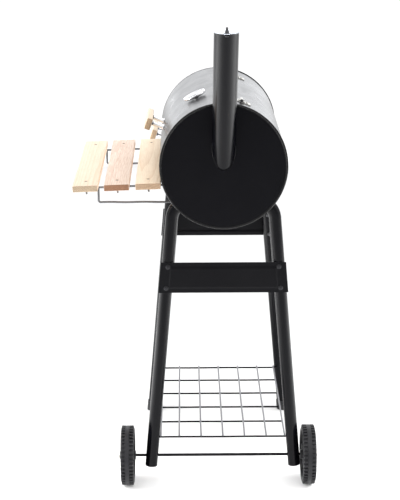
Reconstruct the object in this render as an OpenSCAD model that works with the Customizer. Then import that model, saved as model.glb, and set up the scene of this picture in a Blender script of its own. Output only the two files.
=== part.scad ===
// Offset smoker: a horizontal barrel on four tube legs, with a lower firebox at its left end,
// a leaning chimney at its right end, a slatted wooden shelf in front and two wheels.
// +X points to the chimney end (the user's right), -Y to the user, +Z up, and the ground is z = 0.
// Angles round a drum are measured from its front horizontal, upwards.

/* [Barrel] */
// Outer diameter of the barrel over its lid
barrel_d = 350; // [320:1:380]
// Length of the barrel over its rolled end beads
barrel_l = 600; // [560:5:680]
// Height of the barrel's axis above the ground
axis_h = 940; // [900:5:980]
// Thickness of the sheet steel
sheet = 1.5; // [1.2:0.1:2]

/* [Firebox] */
// Outer diameter of the firebox over its lid
firebox_d = 340; // [300:1:345]
// Length of the firebox shell
firebox_l = 317; // [290:1:360]
// How far the firebox's axis lies below the barrel's
firebox_drop = 126; // [110:1:130]
// Diameter of the smoke passage between firebox and barrel
smoke_hole_d = 140; // [110:1:150]

/* [Lids] */
// Angle of a lid's front edge above the front horizontal
lid_a0 = 4; // [2:0.5:8]
// Angle of a lid's rear edge
lid_a1 = 104; // [100:0.5:104]
// Angle of the grip above the front horizontal
grip_a = 19.5; // [14:0.5:24]
// Length of a wooden grip
grip_l = 150; // [120:5:180]
// Height of a wooden grip, along the drum's curve
grip_h = 34; // [26:1:36]
// Thickness of a wooden grip
grip_t = 17; // [12:0.5:18]
// Height of the posts that carry a grip
post_h = 37; // [30:1:42]
// Spacing of a grip's two posts
post_spacing = 87; // [70:1:100]

/* [Chimney] */
// Outer diameter of the chimney pipe
chimney_d = 64; // [56:1:70]
// Lean of the pipe from the vertical
chimney_lean = 30; // [25:1:35]
// Height of the pipe's top above the barrel's axis
chimney_top = 390; // [330:5:430]

/* [Thermometer] */
// Diameter of the thermometer's case
dial_d = 65; // [55:1:75]
// Angle of the thermometer above the front horizontal
dial_a = 65; // [58:1:68]

/* [Legs] */
// Outer diameter of the leg tubes
leg_d = 35; // [30:1:38]
// Distance of each pair of legs from the barrel's middle
leg_x = 275; // [250:1:278]
// Outward lean of each leg
leg_splay = 5; // [4:0.5:6]
// Height of the wheel legs' lower ends above the ground
wheel_leg_h = 57; // [50:1:65]

/* [Front shelf] */
// Width of one slat
slat_w = 68; // [62:1:70]
// Thickness of one slat
slat_t = 17.5; // [15:0.5:20]
// Length of one slat
slat_l = 583; // [543:5:588]
// Gap between neighbouring slats
slat_gap = 17.5; // [15:0.5:22]
// How far the slats' top lies below the barrel's axis
shelf_drop = 44; // [42:1:55]
// How far the shelf droops outwards
shelf_droop = 2; // [0:0.5:3]

/* [Wheels] */
// Diameter of a wheel over its lugs
wheel_d = 170; // [160:1:180]
// Width of a wheel
wheel_w = 38; // [34:1:42]
// Diameter of the axle
axle_d = 8; // [8:1:10]

/* [Bottom shelf] */
// Height of the wire shelf's cross wires above the ground
wire_shelf_h = 141; // [130:1:170]
// Diameter of the wire
wire_d = 5; // [3:0.5:5]

/* [Hidden] */
$fn = 96;

// Clearances: between sheets that pass each other, and round a turning pin
gap = 0.3;
run_fit = 0.05;

// Rolled bead round each end plate
bead_r = 3;

// Radii, from the outside of the barrel inwards
barrel_r = barrel_d / 2;
lid_r = barrel_r - 0.5;
body_r = lid_r - sheet - gap;
shell_l = barrel_l - 2 * bead_r;
end_x = shell_l / 2;

// The same for the firebox, whose plate rests on the barrel plate's bead
firebox_r = firebox_d / 2;
firebox_lid_r = firebox_r - 0.5;
firebox_body_r = firebox_lid_r - sheet - gap;
firebox_x1 = -barrel_l / 2 - sheet;
firebox_x0 = firebox_x1 - firebox_l;
firebox_mid = (firebox_x0 + firebox_x1) / 2;

// Window under a lid, and how far the lid stops short of the end plates
window_in = 3;
window_end = 15;
lid_end_gap = 2;

// Smoke passage, centred between the two axes
smoke_z = -firebox_drop / 2;
collar_w = 12;
collar_bolt_r = smoke_hole_d / 2 + collar_w / 2;
m6_r = 3;
m6_hole_r = 3.3;

// Chimney: where the pipe's axis meets the end plate, and its top
pipe_r = chimney_d / 2;
pipe_x = end_x + sheet;
pipe_z = pipe_r / sin(chimney_lean) - 10;
pipe_top_x = pipe_x + (chimney_top - pipe_z) * tan(chimney_lean);

// Damper cap on the chimney, and its pivot on the outer side
cap_over = 2;
cap_t = 2.5;
pivot_r = 3;
ear_r = 8;
lug_t = 3;
pivot_x = pipe_top_x + pipe_r / cos(chimney_lean) + 5;
pivot_h = 18;
nut_h = 7;
nut_r = 5.8;

// Hinges: pin axis, leaf size and knuckle lengths
hinge_a = 106;
hinge_lift = 4.5;
pin_r = 3;
knuckle_r = 4.2;
leaf_l = 30;
leaf_t = 2;
leaf_w = 21;
leaf_mid_a = 5.5;
web_w = 9;
web_h = 3.5;
mid_knuckle = 13;
hinge_xs = [-172, 236];
firebox_hinge_xs = [-95, 95];

// Thermometer: place along the lid, height off it, case, probe and needle
dial_x = 130;
dial_lift = 4.5;
case_h = 8;
case_wall = 1.6;
stem_r = 2.6;
thread_r = 4.9;
probe_l = 60;
needle_rest = 135;

// Grates and the rails that carry them
cook_z = -18;
charcoal_z = -100;
fire_z = -62;
rail_w = 13;
rail_t = 2;
bar_t = 3;
bar_h = 6;
rod_r = 2;
rod_step = 14;

// Legs: where the straight part ends, bend radius, and the angle at which a leg meets the barrel
leg_r = leg_d / 2;
leg_wall = 1.5;
bend_z = -149;
bend_y = 141.6;
bend_r = 55;
top_a = 47.6;
bend_sweep = 65;
bend_cy = bend_y - bend_r * cos(leg_splay);
bend_cz = bend_z - bend_r * sin(leg_splay);
foot_r = leg_r + 2;
foot_h = 26;
foot_sole = 4;
leg_bolt_r = 4;
wheel_leg_z = wheel_leg_h - axis_h;
foot_leg_z = foot_sole - axis_h;
function leg_y(z) = bend_y + (bend_z - z) * tan(leg_splay);

// Brace panels: upper and lower edges below the axis, pressed field and bolts
brace_z1 = -271;
brace_z0 = -358.5;
brace_t = 1.5;
brace_over = 3;
field_in = 28;
field_up = 13;
field_h = 2.5;
brace_bolt_in = 13;
brace_bolt_zs = [brace_z1 - brace_bolt_in, brace_z0 + brace_bolt_in];

// Front shelf: inner edge, screws, rods and tool rails
shelf_y = -172;
shelf_x = 6.5;
shelf_top = -shelf_drop;
screw_in = 53;
rod_back = 8;
wire_r = 3;
rod_z = shelf_top - slat_t - wire_r;
rail_z = -112.5;
rail_y = -343.5;
rail_bend = 5;
rail_top_z = shelf_top + (rod_z - wire_r - shelf_top) / cos(shelf_droop)
    + (rail_y - wire_r - shelf_y) * tan(shelf_droop);
screw_head_r = 5;
screw_r = 2.5;
screw_end = -80;
tab = [16, 14, 2];
slat_ys = [for (i = [0:2]) shelf_y - slat_w - i * (slat_w + slat_gap)];
shelf_reach = -slat_ys[2];
screw_xs = [for (s = [1, -1]) shelf_x + s * (slat_l / 2 - screw_in)];

// Bottom wire shelf: six cross wires between the leg pairs, seven long wires on top
cross_n = 6;
cell_w = 62.4;
edge_wire_y = 177.5;
wire_ys = [-edge_wire_y, -2 * cell_w, -cell_w, 0, cell_w, 2 * cell_w, edge_wire_y];

// Wheels and axle
axle_r = axle_d / 2;
wheel_r = wheel_d / 2;
hub_out = 4;
hub_r = 14;
bore_r = axle_r + run_fit;
wheel_front_y = -292;
wheel_rear_y = 227;
axle_cap = 5;
cap_r = 9;
axle_z = wheel_r - axis_h;
axle_y0 = wheel_front_y - hub_out - axle_cap;
axle_y1 = wheel_rear_y + wheel_w + hub_out + axle_cap;

// Air damper on the firebox's outer plate
damper_r = 48;
vent_r = 11;
vent_ring = 31;
vent_n = 4;
damper_z = -80;
knob_r = 6;
knob_l = 16;

// Reach from the barrel's middle in each direction, which centres the whole on the origin
reach_right = pivot_x + ear_r;
reach_left = -firebox_x0 + sheet + gap + sheet + knob_l;
reach_front = (shelf_reach + shelf_y) * cos(shelf_droop) - shelf_y;
reach_rear = axle_y1;
barrel_x = (reach_left - reach_right) / 2;
barrel_y = (reach_front - reach_rear) / 2;

// ---- Helpers ----

// Barrel's own frame: origin at the middle of its axis
module at_barrel() {
    translate([barrel_x, barrel_y, axis_h]) children();
}

module at_firebox() {
    at_barrel() translate([firebox_mid, 0, -firebox_drop]) children();
}

module x_cylinder(r, x0, x1) {
    translate([x0, 0, 0]) rotate([0, 90, 0]) cylinder(h = x1 - x0, r = r);
}

module y_cylinder(r, y0, y1) {
    translate([0, y0, 0]) rotate([-90, 0, 0]) cylinder(h = y1 - y0, r = r);
}

// Curved sheet round the X axis, from angle a0 to a1, centred on x = 0
module arc_sheet(r, t, l, a0, a1) {
    rotate([90, 0, -90]) translate([0, 0, -l / 2]) rotate([0, 0, a0])
        rotate_extrude(angle = a1 - a0) translate([r - t, 0]) square([t, l]);
}

// Children stand on a drum at angle a and radius r, with their own z pointing outwards
module on_drum(a, r) {
    rotate([90 - a, 0, 0]) translate([0, 0, r]) children();
}

// Drum with a window under its lid
module drum(r, l) {
    difference() {
        x_cylinder(r, -l / 2, l / 2);
        x_cylinder(r - sheet, -l / 2 - 1, l / 2 + 1);
        arc_sheet(r + 5, 12, l - 2 * window_end, lid_a0 + window_in, lid_a1 - window_in);
    }
}

module lid_sheet(r, l) {
    arc_sheet(r, sheet, l - 2 * lid_end_gap, lid_a0, lid_a1);
}

// End plate whose outside faces +X, with a half-round bead rolled over the shell's end
module end_plate(r) {
    x_cylinder(r - bead_r, 0, sheet);
    rotate([0, 90, 0]) rotate_extrude() translate([r - bead_r, 0]) intersection() {
        circle(r = bead_r, $fn = 48);
        translate([-bead_r, 0]) square([2 * bead_r, bead_r]);
    }
}

module at_hinge(r) {
    on_drum(hinge_a, r + hinge_lift) children();
}

module knuckle(r, x0, x1, bore) {
    at_hinge(r) difference() {
        x_cylinder(knuckle_r, x0, x1);
        x_cylinder(bore, x0 - 1, x1 + 1);
    }
}

// Flat web that joins a leaf to a knuckle, on side s of the pin, from the drum's radius r0 up
module knuckle_web(r, r0, s, x0, x1, bore) {
    difference() {
        on_drum(hinge_a, r0) translate([x0, s > 0 ? 0 : -web_w, gap])
            cube([x1 - x0, web_w, r - r0 + web_h]);
        at_hinge(r) x_cylinder(bore, x0 - 1, x1 + 1);
    }
}

// Flat leaf with two rivets, on side s of the pin, resting on a drum of radius r0
module leaf_plate(r0, s) {
    on_drum(hinge_a + s * leaf_mid_a, r0) {
        translate([-leaf_l / 2, -leaf_w / 2, 0]) cube([leaf_l, leaf_w, leaf_t]);
        for (m = [-1, 1]) translate([m * leaf_l * 0.3, 0, leaf_t - 0.5])
            cylinder(h = 1.7, r = 3, $fn = 32);
    }
}

// Fixed leaf, riveted behind the lid, with two outer knuckles
module fixed_leaf(r, base_r) {
    x0 = mid_knuckle / 2 + 0.5;
    leaf_plate(base_r, 1);
    for (m = [0, 1]) mirror([m, 0, 0]) {
        knuckle(r, x0, leaf_l / 2 - 0.5, pin_r);
        knuckle_web(r, base_r, 1, x0, leaf_l / 2 - 0.5, pin_r);
    }
}

// Moving leaf on the lid, with the middle knuckle
module lid_leaf(r) {
    half = mid_knuckle / 2;
    leaf_plate(r, -1);
    knuckle(r, -half, half, pin_r + run_fit);
    knuckle_web(r, r, -1, -half, half, pin_r + run_fit);
}

module hinge_pin(r) {
    at_hinge(r) {
        x_cylinder(pin_r, -leaf_l / 2 - 1, leaf_l / 2 + 1);
        x_cylinder(pin_r + 1, leaf_l / 2 + 0.2, leaf_l / 2 + 2);
    }
}

// Slanted cylinder along the chimney's axis
module pipe_cylinder(r) {
    translate([pipe_x, 0, pipe_z]) rotate([0, chimney_lean, 0])
        translate([0, 0, -150]) cylinder(h = 700, r = r);
}

// Grate: flat bars on edge under round rods along Y
module grate(l, w) {
    rods = floor((l - 2 * bar_t - 2 * rod_r) / rod_step);
    bar_ys = [-w / 2 + 22, 0, w / 2 - 22];
    color("silver") {
        for (y = bar_ys) translate([-l / 2, y - bar_t / 2, 0]) cube([l, bar_t, bar_h]);
        for (s = [-1, 1]) translate([s * (l - bar_t) / 2 - bar_t / 2, -w / 2, 0])
            cube([bar_t, w, bar_h]);
        for (i = [0:rods]) translate([(i - rods / 2) * rod_step, 0, bar_h + rod_r - 0.5])
            y_cylinder(rod_r, -w / 2, w / 2);
    }
}

// Two angle rails inside a drum at height z
module rails(r, l, z) {
    half = sqrt((r - sheet) * (r - sheet) - z * z);
    intersection() {
        x_cylinder(r - sheet, -l / 2, l / 2);
        for (s = [-1, 1]) translate([-l / 2, s * (half - rail_w / 2 + 1) - rail_w / 2, z - rail_t])
            cube([l, rail_w, rail_t]);
    }
}

// ---- Barrel ----

module barrel_body() {
    color("#26262a") at_barrel() difference() {
        drum(body_r, shell_l);
        for (sx = [-1, 1], sy = [0, 1]) mirror([0, sy, 0]) translate([sx * leg_x, 0, 0])
            at_leg_top() translate([0, 0, -10]) cylinder(h = 30, r = leg_bolt_r + 0.3);
    }
}

module chimney_end_plate() {
    color("#1d1d1f") at_barrel() difference() {
        translate([end_x, 0, 0]) end_plate(barrel_r);
        pipe_cylinder(pipe_r - sheet);
    }
}

module collar_bolt_places() {
    translate([0, 0, smoke_z]) for (a = [0:90:270]) rotate([a, 0, 0])
        translate([0, 0, collar_bolt_r]) children();
}

module smoke_cut(x0, x1) {
    translate([0, 0, smoke_z]) x_cylinder(smoke_hole_d / 2, x0, x1);
    collar_bolt_places() x_cylinder(m6_hole_r, x0, x1);
}

module firebox_side_plate() {
    color("#1d1d1f") at_barrel() difference() {
        mirror([1, 0, 0]) translate([end_x, 0, 0]) end_plate(barrel_r);
        smoke_cut(-barrel_l, 0);
    }
}

module hinge_fixed_leaves() {
    color("#9a9a96") {
        at_barrel() for (x = hinge_xs) translate([x, 0, 0]) fixed_leaf(lid_r, body_r);
        at_firebox() for (x = firebox_hinge_xs) translate([x, 0, 0])
            fixed_leaf(firebox_lid_r, firebox_body_r);
    }
}

module hinge_pins() {
    color("#8d8d8d") {
        at_barrel() for (x = hinge_xs) translate([x, 0, 0]) hinge_pin(lid_r);
        at_firebox() for (x = firebox_hinge_xs) translate([x, 0, 0]) hinge_pin(firebox_lid_r);
    }
}

module grate_rails() {
    color("#2a2a2c") {
        at_barrel() rails(body_r, shell_l, cook_z);
        at_barrel() rails(body_r, shell_l, charcoal_z);
        at_firebox() rails(firebox_body_r, firebox_l, fire_z);
    }
}

module cooking_grate_left() {
    at_barrel() translate([-shell_l / 4, 0, cook_z]) grate(shell_l / 2 - 4, 326);
}

module cooking_grate_right() {
    at_barrel() translate([shell_l / 4, 0, cook_z]) grate(shell_l / 2 - 4, 326);
}

module charcoal_grate() {
    at_barrel() translate([0, 0, charcoal_z]) grate(shell_l - 6, 264);
}

// ---- Lid ----

module grip_holes(r) {
    for (s = [-1, 1]) on_drum(grip_a, r - 10) translate([s * post_spacing / 2, 0, 0])
        cylinder(h = 20, r = m6_hole_r);
}

module lid_shell() {
    color("#2a2a2e") at_barrel() difference() {
        lid_sheet(lid_r, shell_l);
        grip_holes(lid_r);
        on_drum(dial_a, lid_r - 10) translate([dial_x, 0, 0]) cylinder(h = 20, r = thread_r + 0.1);
    }
}

// Wooden bar with two blind holes for the screws
module grip_bar() {
    difference() {
        translate([-grip_l / 2, -grip_h / 2, post_h]) cube([grip_l, grip_h, grip_t]);
        for (s = [-1, 1]) translate([s * post_spacing / 2, 0, 0])
            cylinder(h = post_h + grip_t - 3, r = m6_r);
    }
}

// Turned posts with a foot that sits on the curved lid
module grip_posts(r) {
    difference() {
        for (s = [-1, 1]) translate([s * post_spacing / 2, 0, -2]) cylinder(h = post_h + 2, r = 7.8);
        for (s = [-1, 1]) translate([s * post_spacing / 2, 0, -3]) cylinder(h = post_h + 6, r = m6_r);
        translate([0, 0, -r]) x_cylinder(r, -grip_l, grip_l);
    }
}

module grip_screws() {
    for (s = [-1, 1]) translate([s * post_spacing / 2, 0, -sheet - gap]) {
        translate([0, 0, -3.4]) cylinder(h = 3.4, r = 6);
        cylinder(h = post_h + grip_t + sheet + gap - 3, r = m6_r);
    }
}

module lid_grip() {
    color("#e9d3b0") at_barrel() on_drum(grip_a, lid_r) grip_bar();
}

module lid_posts() {
    color("#d8d8d8") at_barrel() on_drum(grip_a, lid_r) grip_posts(lid_r);
}

module lid_screws() {
    color("#a8a8a8") at_barrel() on_drum(grip_a, lid_r) grip_screws();
}

module lid_leaves() {
    color("#9a9a96") at_barrel() for (x = hinge_xs) translate([x, 0, 0]) lid_leaf(lid_r);
}

// ---- Thermometer ----

module at_dial() {
    at_barrel() on_drum(dial_a, lid_r) translate([dial_x, 0, 0]) children();
}

// Shallow cup with a rolled lip over the glass
module thermometer_case() {
    r = dial_d / 2;
    inner = r - case_wall;
    color("#b9bbbd") at_dial() translate([0, 0, dial_lift]) rotate_extrude() polygon([
        [stem_r, 0], [r - 1.5, 0], [r, 1.5], [r, case_h - 1], [r - 1, case_h],
        [inner - 2, case_h], [inner - 2, case_h - 1], [inner, case_h - 1.6],
        [inner, case_wall], [stem_r, case_wall]
    ]);
}

module thermometer_dial() {
    color("white") at_dial() translate([0, 0, dial_lift + case_wall]) difference() {
        cylinder(h = 1, r = dial_d / 2 - case_wall);
        translate([0, 0, -1]) cylinder(h = 3, r = 1 + run_fit);
    }
}

module thermometer_glass() {
    color("#d8e4ea", 0.4) at_dial() translate([0, 0, dial_lift + case_h - 2.7])
        cylinder(h = 1.1, r = dial_d / 2 - case_wall);
}

// Hexagonal neck, threaded part and probe, through the lid
module thermometer_stem() {
    color("#b0b0b0") at_dial() {
        translate([0, 0, -probe_l]) cylinder(h = probe_l + dial_lift + case_wall - gap, r = stem_r);
        cylinder(h = dial_lift, r = 8, $fn = 6);
        translate([0, 0, -9]) cylinder(h = 10, r = thread_r);
    }
}

module thermometer_nut() {
    color("#a0a0a0") at_dial() translate([0, 0, -sheet - 5.3]) difference() {
        cylinder(h = 5, r = 9, $fn = 6);
        translate([0, 0, -1]) cylinder(h = 7, r = thread_r);
    }
}

// Pointer that turns clockwise from its rest at the lower left
module thermometer_needle() {
    color("#202020") at_dial() translate([0, 0, dial_lift]) rotate([0, 0, needle_rest]) {
        translate([0, 0, case_wall + 1.6]) linear_extrude(0.8)
            polygon([[-1.6, -8], [1.6, -8], [1, 0], [0.4, 24], [-0.4, 24], [-1, 0]]);
        translate([0, 0, case_wall + 1 + gap]) cylinder(h = 1.8, r = 3);
        translate([0, 0, case_wall + 0.1]) cylinder(h = 2, r = 1);
    }
}

// ---- Chimney ----

module chimney_pipe() {
    color("#2c2c30") at_barrel() intersection() {
        difference() {
            pipe_cylinder(pipe_r);
            pipe_cylinder(pipe_r - sheet);
        }
        translate([pipe_x, -100, -100]) cube([400, 200, 100 + chimney_top]);
    }
}

// Flat ear with a tab that reaches back towards the pipe
module ear(z, t, hole_r) {
    difference() {
        union() {
            translate([pivot_x, 0, z]) cylinder(h = t, r = ear_r);
            translate([pivot_x - 14, -ear_r, z]) cube([14, 2 * ear_r, t]);
        }
        translate([pivot_x, 0, z - 1]) cylinder(h = t + 2, r = hole_r);
    }
}

module damper_lug() {
    color("#2c2c30") at_barrel() difference() {
        ear(chimney_top - lug_t, lug_t, pivot_r);
        pipe_cylinder(pipe_r);
    }
}

// Pivot bolt under the lug, and the nut over the cap
module damper_bolt() {
    color("#55555a") at_barrel() translate([pivot_x, 0, chimney_top]) {
        translate([0, 0, -lug_t]) cylinder(h = pivot_h + lug_t, r = pivot_r);
        translate([0, 0, -lug_t - 3.5]) cylinder(h = 3.5, r = 5.5, $fn = 6);
        translate([0, 0, cap_t + 2 * gap]) cylinder(h = nut_h, r = nut_r, $fn = 6);
    }
}

// Oval cap that covers the slanted pipe's mouth and swings on its ear
module chimney_damper() {
    color("#d6d6d8") at_barrel() {
        difference() {
            intersection() {
                pipe_cylinder(pipe_r + cap_over);
                translate([0, -100, chimney_top + gap]) cube([800, 200, cap_t]);
            }
            translate([pivot_x, 0, chimney_top]) cylinder(h = 9, r = pivot_r + run_fit);
        }
        ear(chimney_top + gap, cap_t, pivot_r + run_fit);
    }
}

// ---- Firebox ----

module firebox_body() {
    color("#26262a") at_firebox() drum(firebox_body_r, firebox_l);
}

module firebox_inner_plate() {
    color("#1d1d1f") at_barrel() difference() {
        translate([0, 0, -firebox_drop]) x_cylinder(firebox_r, firebox_x1, firebox_x1 + sheet);
        smoke_cut(-barrel_l, 0);
    }
}

module vent_places() {
    for (i = [0:vent_n - 1]) rotate([i * 360 / vent_n, 0, 0]) translate([0, 0, vent_ring])
        children();
}

module firebox_outer_plate() {
    color("#1d1d1f") at_barrel() translate([firebox_x0, 0, -firebox_drop]) difference() {
        mirror([1, 0, 0]) end_plate(firebox_r);
        translate([0, 0, damper_z]) {
            vent_places() x_cylinder(vent_r, -10, 10);
            x_cylinder(m6_r, -10, 10);
        }
    }
}

module smoke_collar() {
    color("#2a2a2c") at_barrel() difference() {
        translate([0, 0, smoke_z])
            x_cylinder(smoke_hole_d / 2 + collar_w, -barrel_l / 2, -end_x - sheet);
        smoke_cut(-barrel_l, 0);
    }
}

module firebox_bolts() {
    color("#8d8d8d") at_barrel() collar_bolt_places() {
        x_cylinder(m6_r, firebox_x1 - 8, -end_x);
        x_cylinder(6, -end_x, -end_x + 3.5);
        translate([firebox_x1 - 5, 0, 0]) rotate([0, 90, 0]) difference() {
            cylinder(h = 5, r = 5.8, $fn = 6);
            translate([0, 0, -1]) cylinder(h = 7, r = m6_r - 0.5);
        }
    }
}

module firebox_grate() {
    at_firebox() translate([0, 0, fire_z]) grate(firebox_l - 6, 294);
}

module firebox_lid_shell() {
    color("#2a2a2e") at_firebox() difference() {
        lid_sheet(firebox_lid_r, firebox_l);
        grip_holes(firebox_lid_r);
    }
}

module firebox_grip() {
    color("#e9d3b0") at_firebox() on_drum(grip_a, firebox_lid_r) grip_bar();
}

module firebox_posts() {
    color("#d8d8d8") at_firebox() on_drum(grip_a, firebox_lid_r) grip_posts(firebox_lid_r);
}

module firebox_screws() {
    color("#a8a8a8") at_firebox() on_drum(grip_a, firebox_lid_r) grip_screws();
}

module firebox_leaves() {
    color("#9a9a96") at_firebox() for (x = firebox_hinge_xs) translate([x, 0, 0])
        lid_leaf(firebox_lid_r);
}

module air_damper_rivet() {
    color("#8d8d8d") at_barrel() translate([firebox_x0, 0, -firebox_drop + damper_z]) {
        x_cylinder(m6_r, -2 * sheet - 3 * gap, 0);
        x_cylinder(6, -2 * sheet - 2 * gap - 3, -2 * sheet - 2 * gap);
        x_cylinder(6, 0, 2.5);
    }
}

module air_damper() {
    color("#c9c9c9") at_barrel()
        translate([firebox_x0 - sheet - gap, 0, -firebox_drop + damper_z]) {
            difference() {
                x_cylinder(damper_r, -sheet, 0);
                vent_places() x_cylinder(vent_r, -10, 10);
                x_cylinder(m6_r + run_fit, -10, 10);
            }
            rotate([45, 0, 0]) translate([0, 0, damper_r - knob_r - 2])
                x_cylinder(knob_r, -sheet - knob_l, -sheet);
        }
}

// ---- Legs and braces ----

// Where a leg meets the barrel, with z towards the barrel's axis
module at_leg_top() {
    rotate([top_a, 0, 0]) translate([0, 0, -body_r]) children();
}

// Direction of a leg's straight run, downwards from where its bend starts
module at_run() {
    translate([0, bend_y, bend_z]) rotate([180 + leg_splay, 0, 0]) children();
}

function run_l(bottom_z) = (bend_z - bottom_z) / cos(leg_splay);

module tube(l) {
    difference() {
        cylinder(h = l, r = leg_r);
        translate([0, 0, -1]) cylinder(h = l + 2, r = leg_r - leg_wall);
    }
}

// Straight lower part of a leg, drilled for the brace, the wire shelf and the axle
module leg(sx, sy, bottom_z) {
    at_barrel() translate([sx * leg_x, 0, 0]) mirror([0, sy < 0 ? 1 : 0, 0]) difference() {
        at_run() tube(run_l(bottom_z));
        for (z = brace_bolt_zs) translate([0, leg_y(z), z]) x_cylinder(m6_hole_r, -60, 60);
        translate([0, 0, wire_shelf_h - axis_h])
            y_cylinder(wire_d / 2 + 0.2, 0, leg_y(bottom_z) - 10);
        if (sx > 0) translate([0, 0, axle_z]) y_cylinder(axle_r + 0.1, 0, 300);
    }
}

// Bent upper parts of the legs, whose ends fit the barrel
module leg_necks() {
    color("#232326") at_barrel() for (sx = [-1, 1], m = [0, 1])
        mirror([0, m, 0]) translate([sx * leg_x, 0, 0]) difference() {
            translate([0, bend_cy, bend_cz]) rotate([90, 0, 90]) rotate([0, 0, leg_splay])
                rotate_extrude(angle = bend_sweep) translate([bend_r, 0]) difference() {
                    circle(r = leg_r);
                    circle(r = leg_r - leg_wall);
                }
            x_cylinder(body_r, -60, 60);
        }
}

module leg_front_right() {
    color("#232326") leg(1, -1, wheel_leg_z);
}

module leg_rear_right() {
    color("#232326") leg(1, 1, wheel_leg_z);
}

module leg_front_left() {
    color("#232326") leg(-1, -1, foot_leg_z);
}

module leg_rear_left() {
    color("#232326") leg(-1, 1, foot_leg_z);
}

// Plastic plugs in the wheel legs' lower ends
module leg_plugs() {
    color("#18181a") at_barrel() for (m = [0, 1]) mirror([0, m, 0]) translate([leg_x, 0, 0])
        at_run() translate([0, 0, run_l(wheel_leg_z)]) {
            cylinder(h = 2.5, r = leg_r);
            translate([0, 0, -12]) cylinder(h = 12, r = leg_r - leg_wall);
        }
}

// Bolts from inside the barrel into a nut in each neck
module leg_bolts() {
    color("#8d8d8d") at_barrel() for (sx = [-1, 1], m = [0, 1])
        mirror([0, m, 0]) translate([sx * leg_x, 0, 0]) at_leg_top() {
            translate([0, 0, -8]) cylinder(h = 8 + sheet + 1, r = leg_bolt_r);
            translate([0, 0, sheet + 0.6]) cylinder(h = 3.5, r = 9);
            translate([0, 0, -6.5]) cylinder(h = 6.3, r = 7, $fn = 6);
        }
}

// Plastic foot round a leg's lower end, cut level with the ground
module foot(sy) {
    color("#18181a") at_barrel() translate([-leg_x, 0, 0]) mirror([0, sy < 0 ? 1 : 0, 0])
        difference() {
            at_run() translate([0, 0, run_l(foot_leg_z) - foot_h]) cylinder(h = foot_h + 12, r = foot_r);
            at_run() cylinder(h = run_l(foot_leg_z), r = leg_r);
            translate([-50, 0, -axis_h - 60]) cube([100, 400, 60]);
        }
}

module foot_front() {
    foot(-1);
}

module foot_rear() {
    foot(1);
}

// Pressed panel across a pair of legs, outside towards +X
module brace_panel() {
    half1 = leg_y(brace_z1) + leg_r + brace_over;
    half0 = leg_y(brace_z0) + leg_r + brace_over;
    f1 = half1 - field_in;
    f0 = half0 - field_in;
    difference() {
        union() {
            rotate([90, 0, 90]) linear_extrude(brace_t) polygon([
                [-half0, brace_z0], [half0, brace_z0], [half1, brace_z1], [-half1, brace_z1]
            ]);
            rotate([90, 0, 90]) linear_extrude(brace_t + field_h) polygon([
                [-f0, brace_z0 + field_up], [f0, brace_z0 + field_up],
                [f1, brace_z1 - field_up], [-f1, brace_z1 - field_up]
            ]);
        }
        rotate([90, 0, 90]) translate([0, 0, -1]) linear_extrude(field_h + 1) polygon([
            [-f0 + 2, brace_z0 + field_up + 2], [f0 - 2, brace_z0 + field_up + 2],
            [f1 - 2, brace_z1 - field_up - 2], [-f1 + 2, brace_z1 - field_up - 2]
        ]);
        for (z = brace_bolt_zs, s = [-1, 1]) translate([0, s * leg_y(z), z])
            x_cylinder(m6_hole_r, -5, 10);
    }
}

module brace_right() {
    color("#1c1c1e") at_barrel() translate([leg_x + leg_r, 0, 0]) brace_panel();
}

module brace_left() {
    color("#1c1c1e") at_barrel() mirror([1, 0, 0]) translate([leg_x + leg_r, 0, 0]) brace_panel();
}

module brace_bolts() {
    color("#4a4a4e") at_barrel() for (m = [0, 1], s = [-1, 1], z = brace_bolt_zs)
        mirror([m, 0, 0]) translate([leg_x, s * leg_y(z), z]) {
            x_cylinder(m6_r, -leg_r - 8, leg_r + brace_t);
            x_cylinder(6, leg_r + brace_t, leg_r + brace_t + 3.2);
            translate([-leg_r - 5, 0, 0]) rotate([0, 90, 0]) cylinder(h = 5, r = 5.8, $fn = 6);
        }
}

// Welded wire shelf: cross wires whose outer two end inside the legs, long wires on top
module wire_shelf() {
    z = wire_shelf_h - axis_h;
    step = 2 * leg_x / (cross_n - 1);
    color("#6d6d72") at_barrel() {
        for (i = [0:cross_n - 1]) {
            end = i == 0 || i == cross_n - 1;
            half = end ? leg_y(z) - 6 : edge_wire_y + 1;
            translate([-leg_x + i * step, 0, z]) y_cylinder(wire_d / 2, -half, half, $fn = 24);
        }
        for (y = wire_ys) translate([0, y, z + wire_d - 0.6])
            x_cylinder(wire_d / 2, -leg_x - 4, leg_x + 4, $fn = 24);
    }
}

// ---- Front shelf ----

// Top rods under the slats, welded to the barrel, each with three tabs for the screws
module shelf_rods() {
    color("#77777b") at_barrel() difference() {
        droop() for (x = screw_xs) {
            translate([x - rod_back, 0, rod_z]) y_cylinder(wire_r, slat_ys[2] + 20, -100);
            for (y = slat_ys)
                translate([x - rod_back, y + (slat_w - tab[1]) / 2, rod_z + wire_r - tab[2]])
                    cube(tab);
        }
        x_cylinder(body_r, -barrel_l / 2, barrel_l / 2);
        droop() slat_screw_places() cylinder(h = 100, r = screw_r + 0.3, center = true);
    }
}

// Bent wire below each rod: drops at the outer gap and runs back to the barrel
module tool_rails() {
    color("#77777b") at_barrel() difference() {
        for (x = screw_xs) translate([x - rod_back, 0, 0]) {
            translate([0, rail_y, rail_z + rail_bend])
                cylinder(h = rail_top_z - rail_z - rail_bend, r = wire_r);
            translate([0, rail_y + rail_bend, rail_z + rail_bend]) rotate([90, 0, 90])
                rotate([0, 0, 180]) rotate_extrude(angle = 90) translate([rail_bend, 0])
                    circle(r = wire_r);
            translate([0, 0, rail_z]) y_cylinder(wire_r, rail_y + rail_bend, -100);
        }
        x_cylinder(body_r, -barrel_l / 2, barrel_l / 2);
    }
}

// Turns the whole shelf about its inner edge
module droop() {
    translate([0, shelf_y, shelf_top]) rotate([shelf_droop, 0, 0])
        translate([0, -shelf_y, -shelf_top]) children();
}

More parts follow.
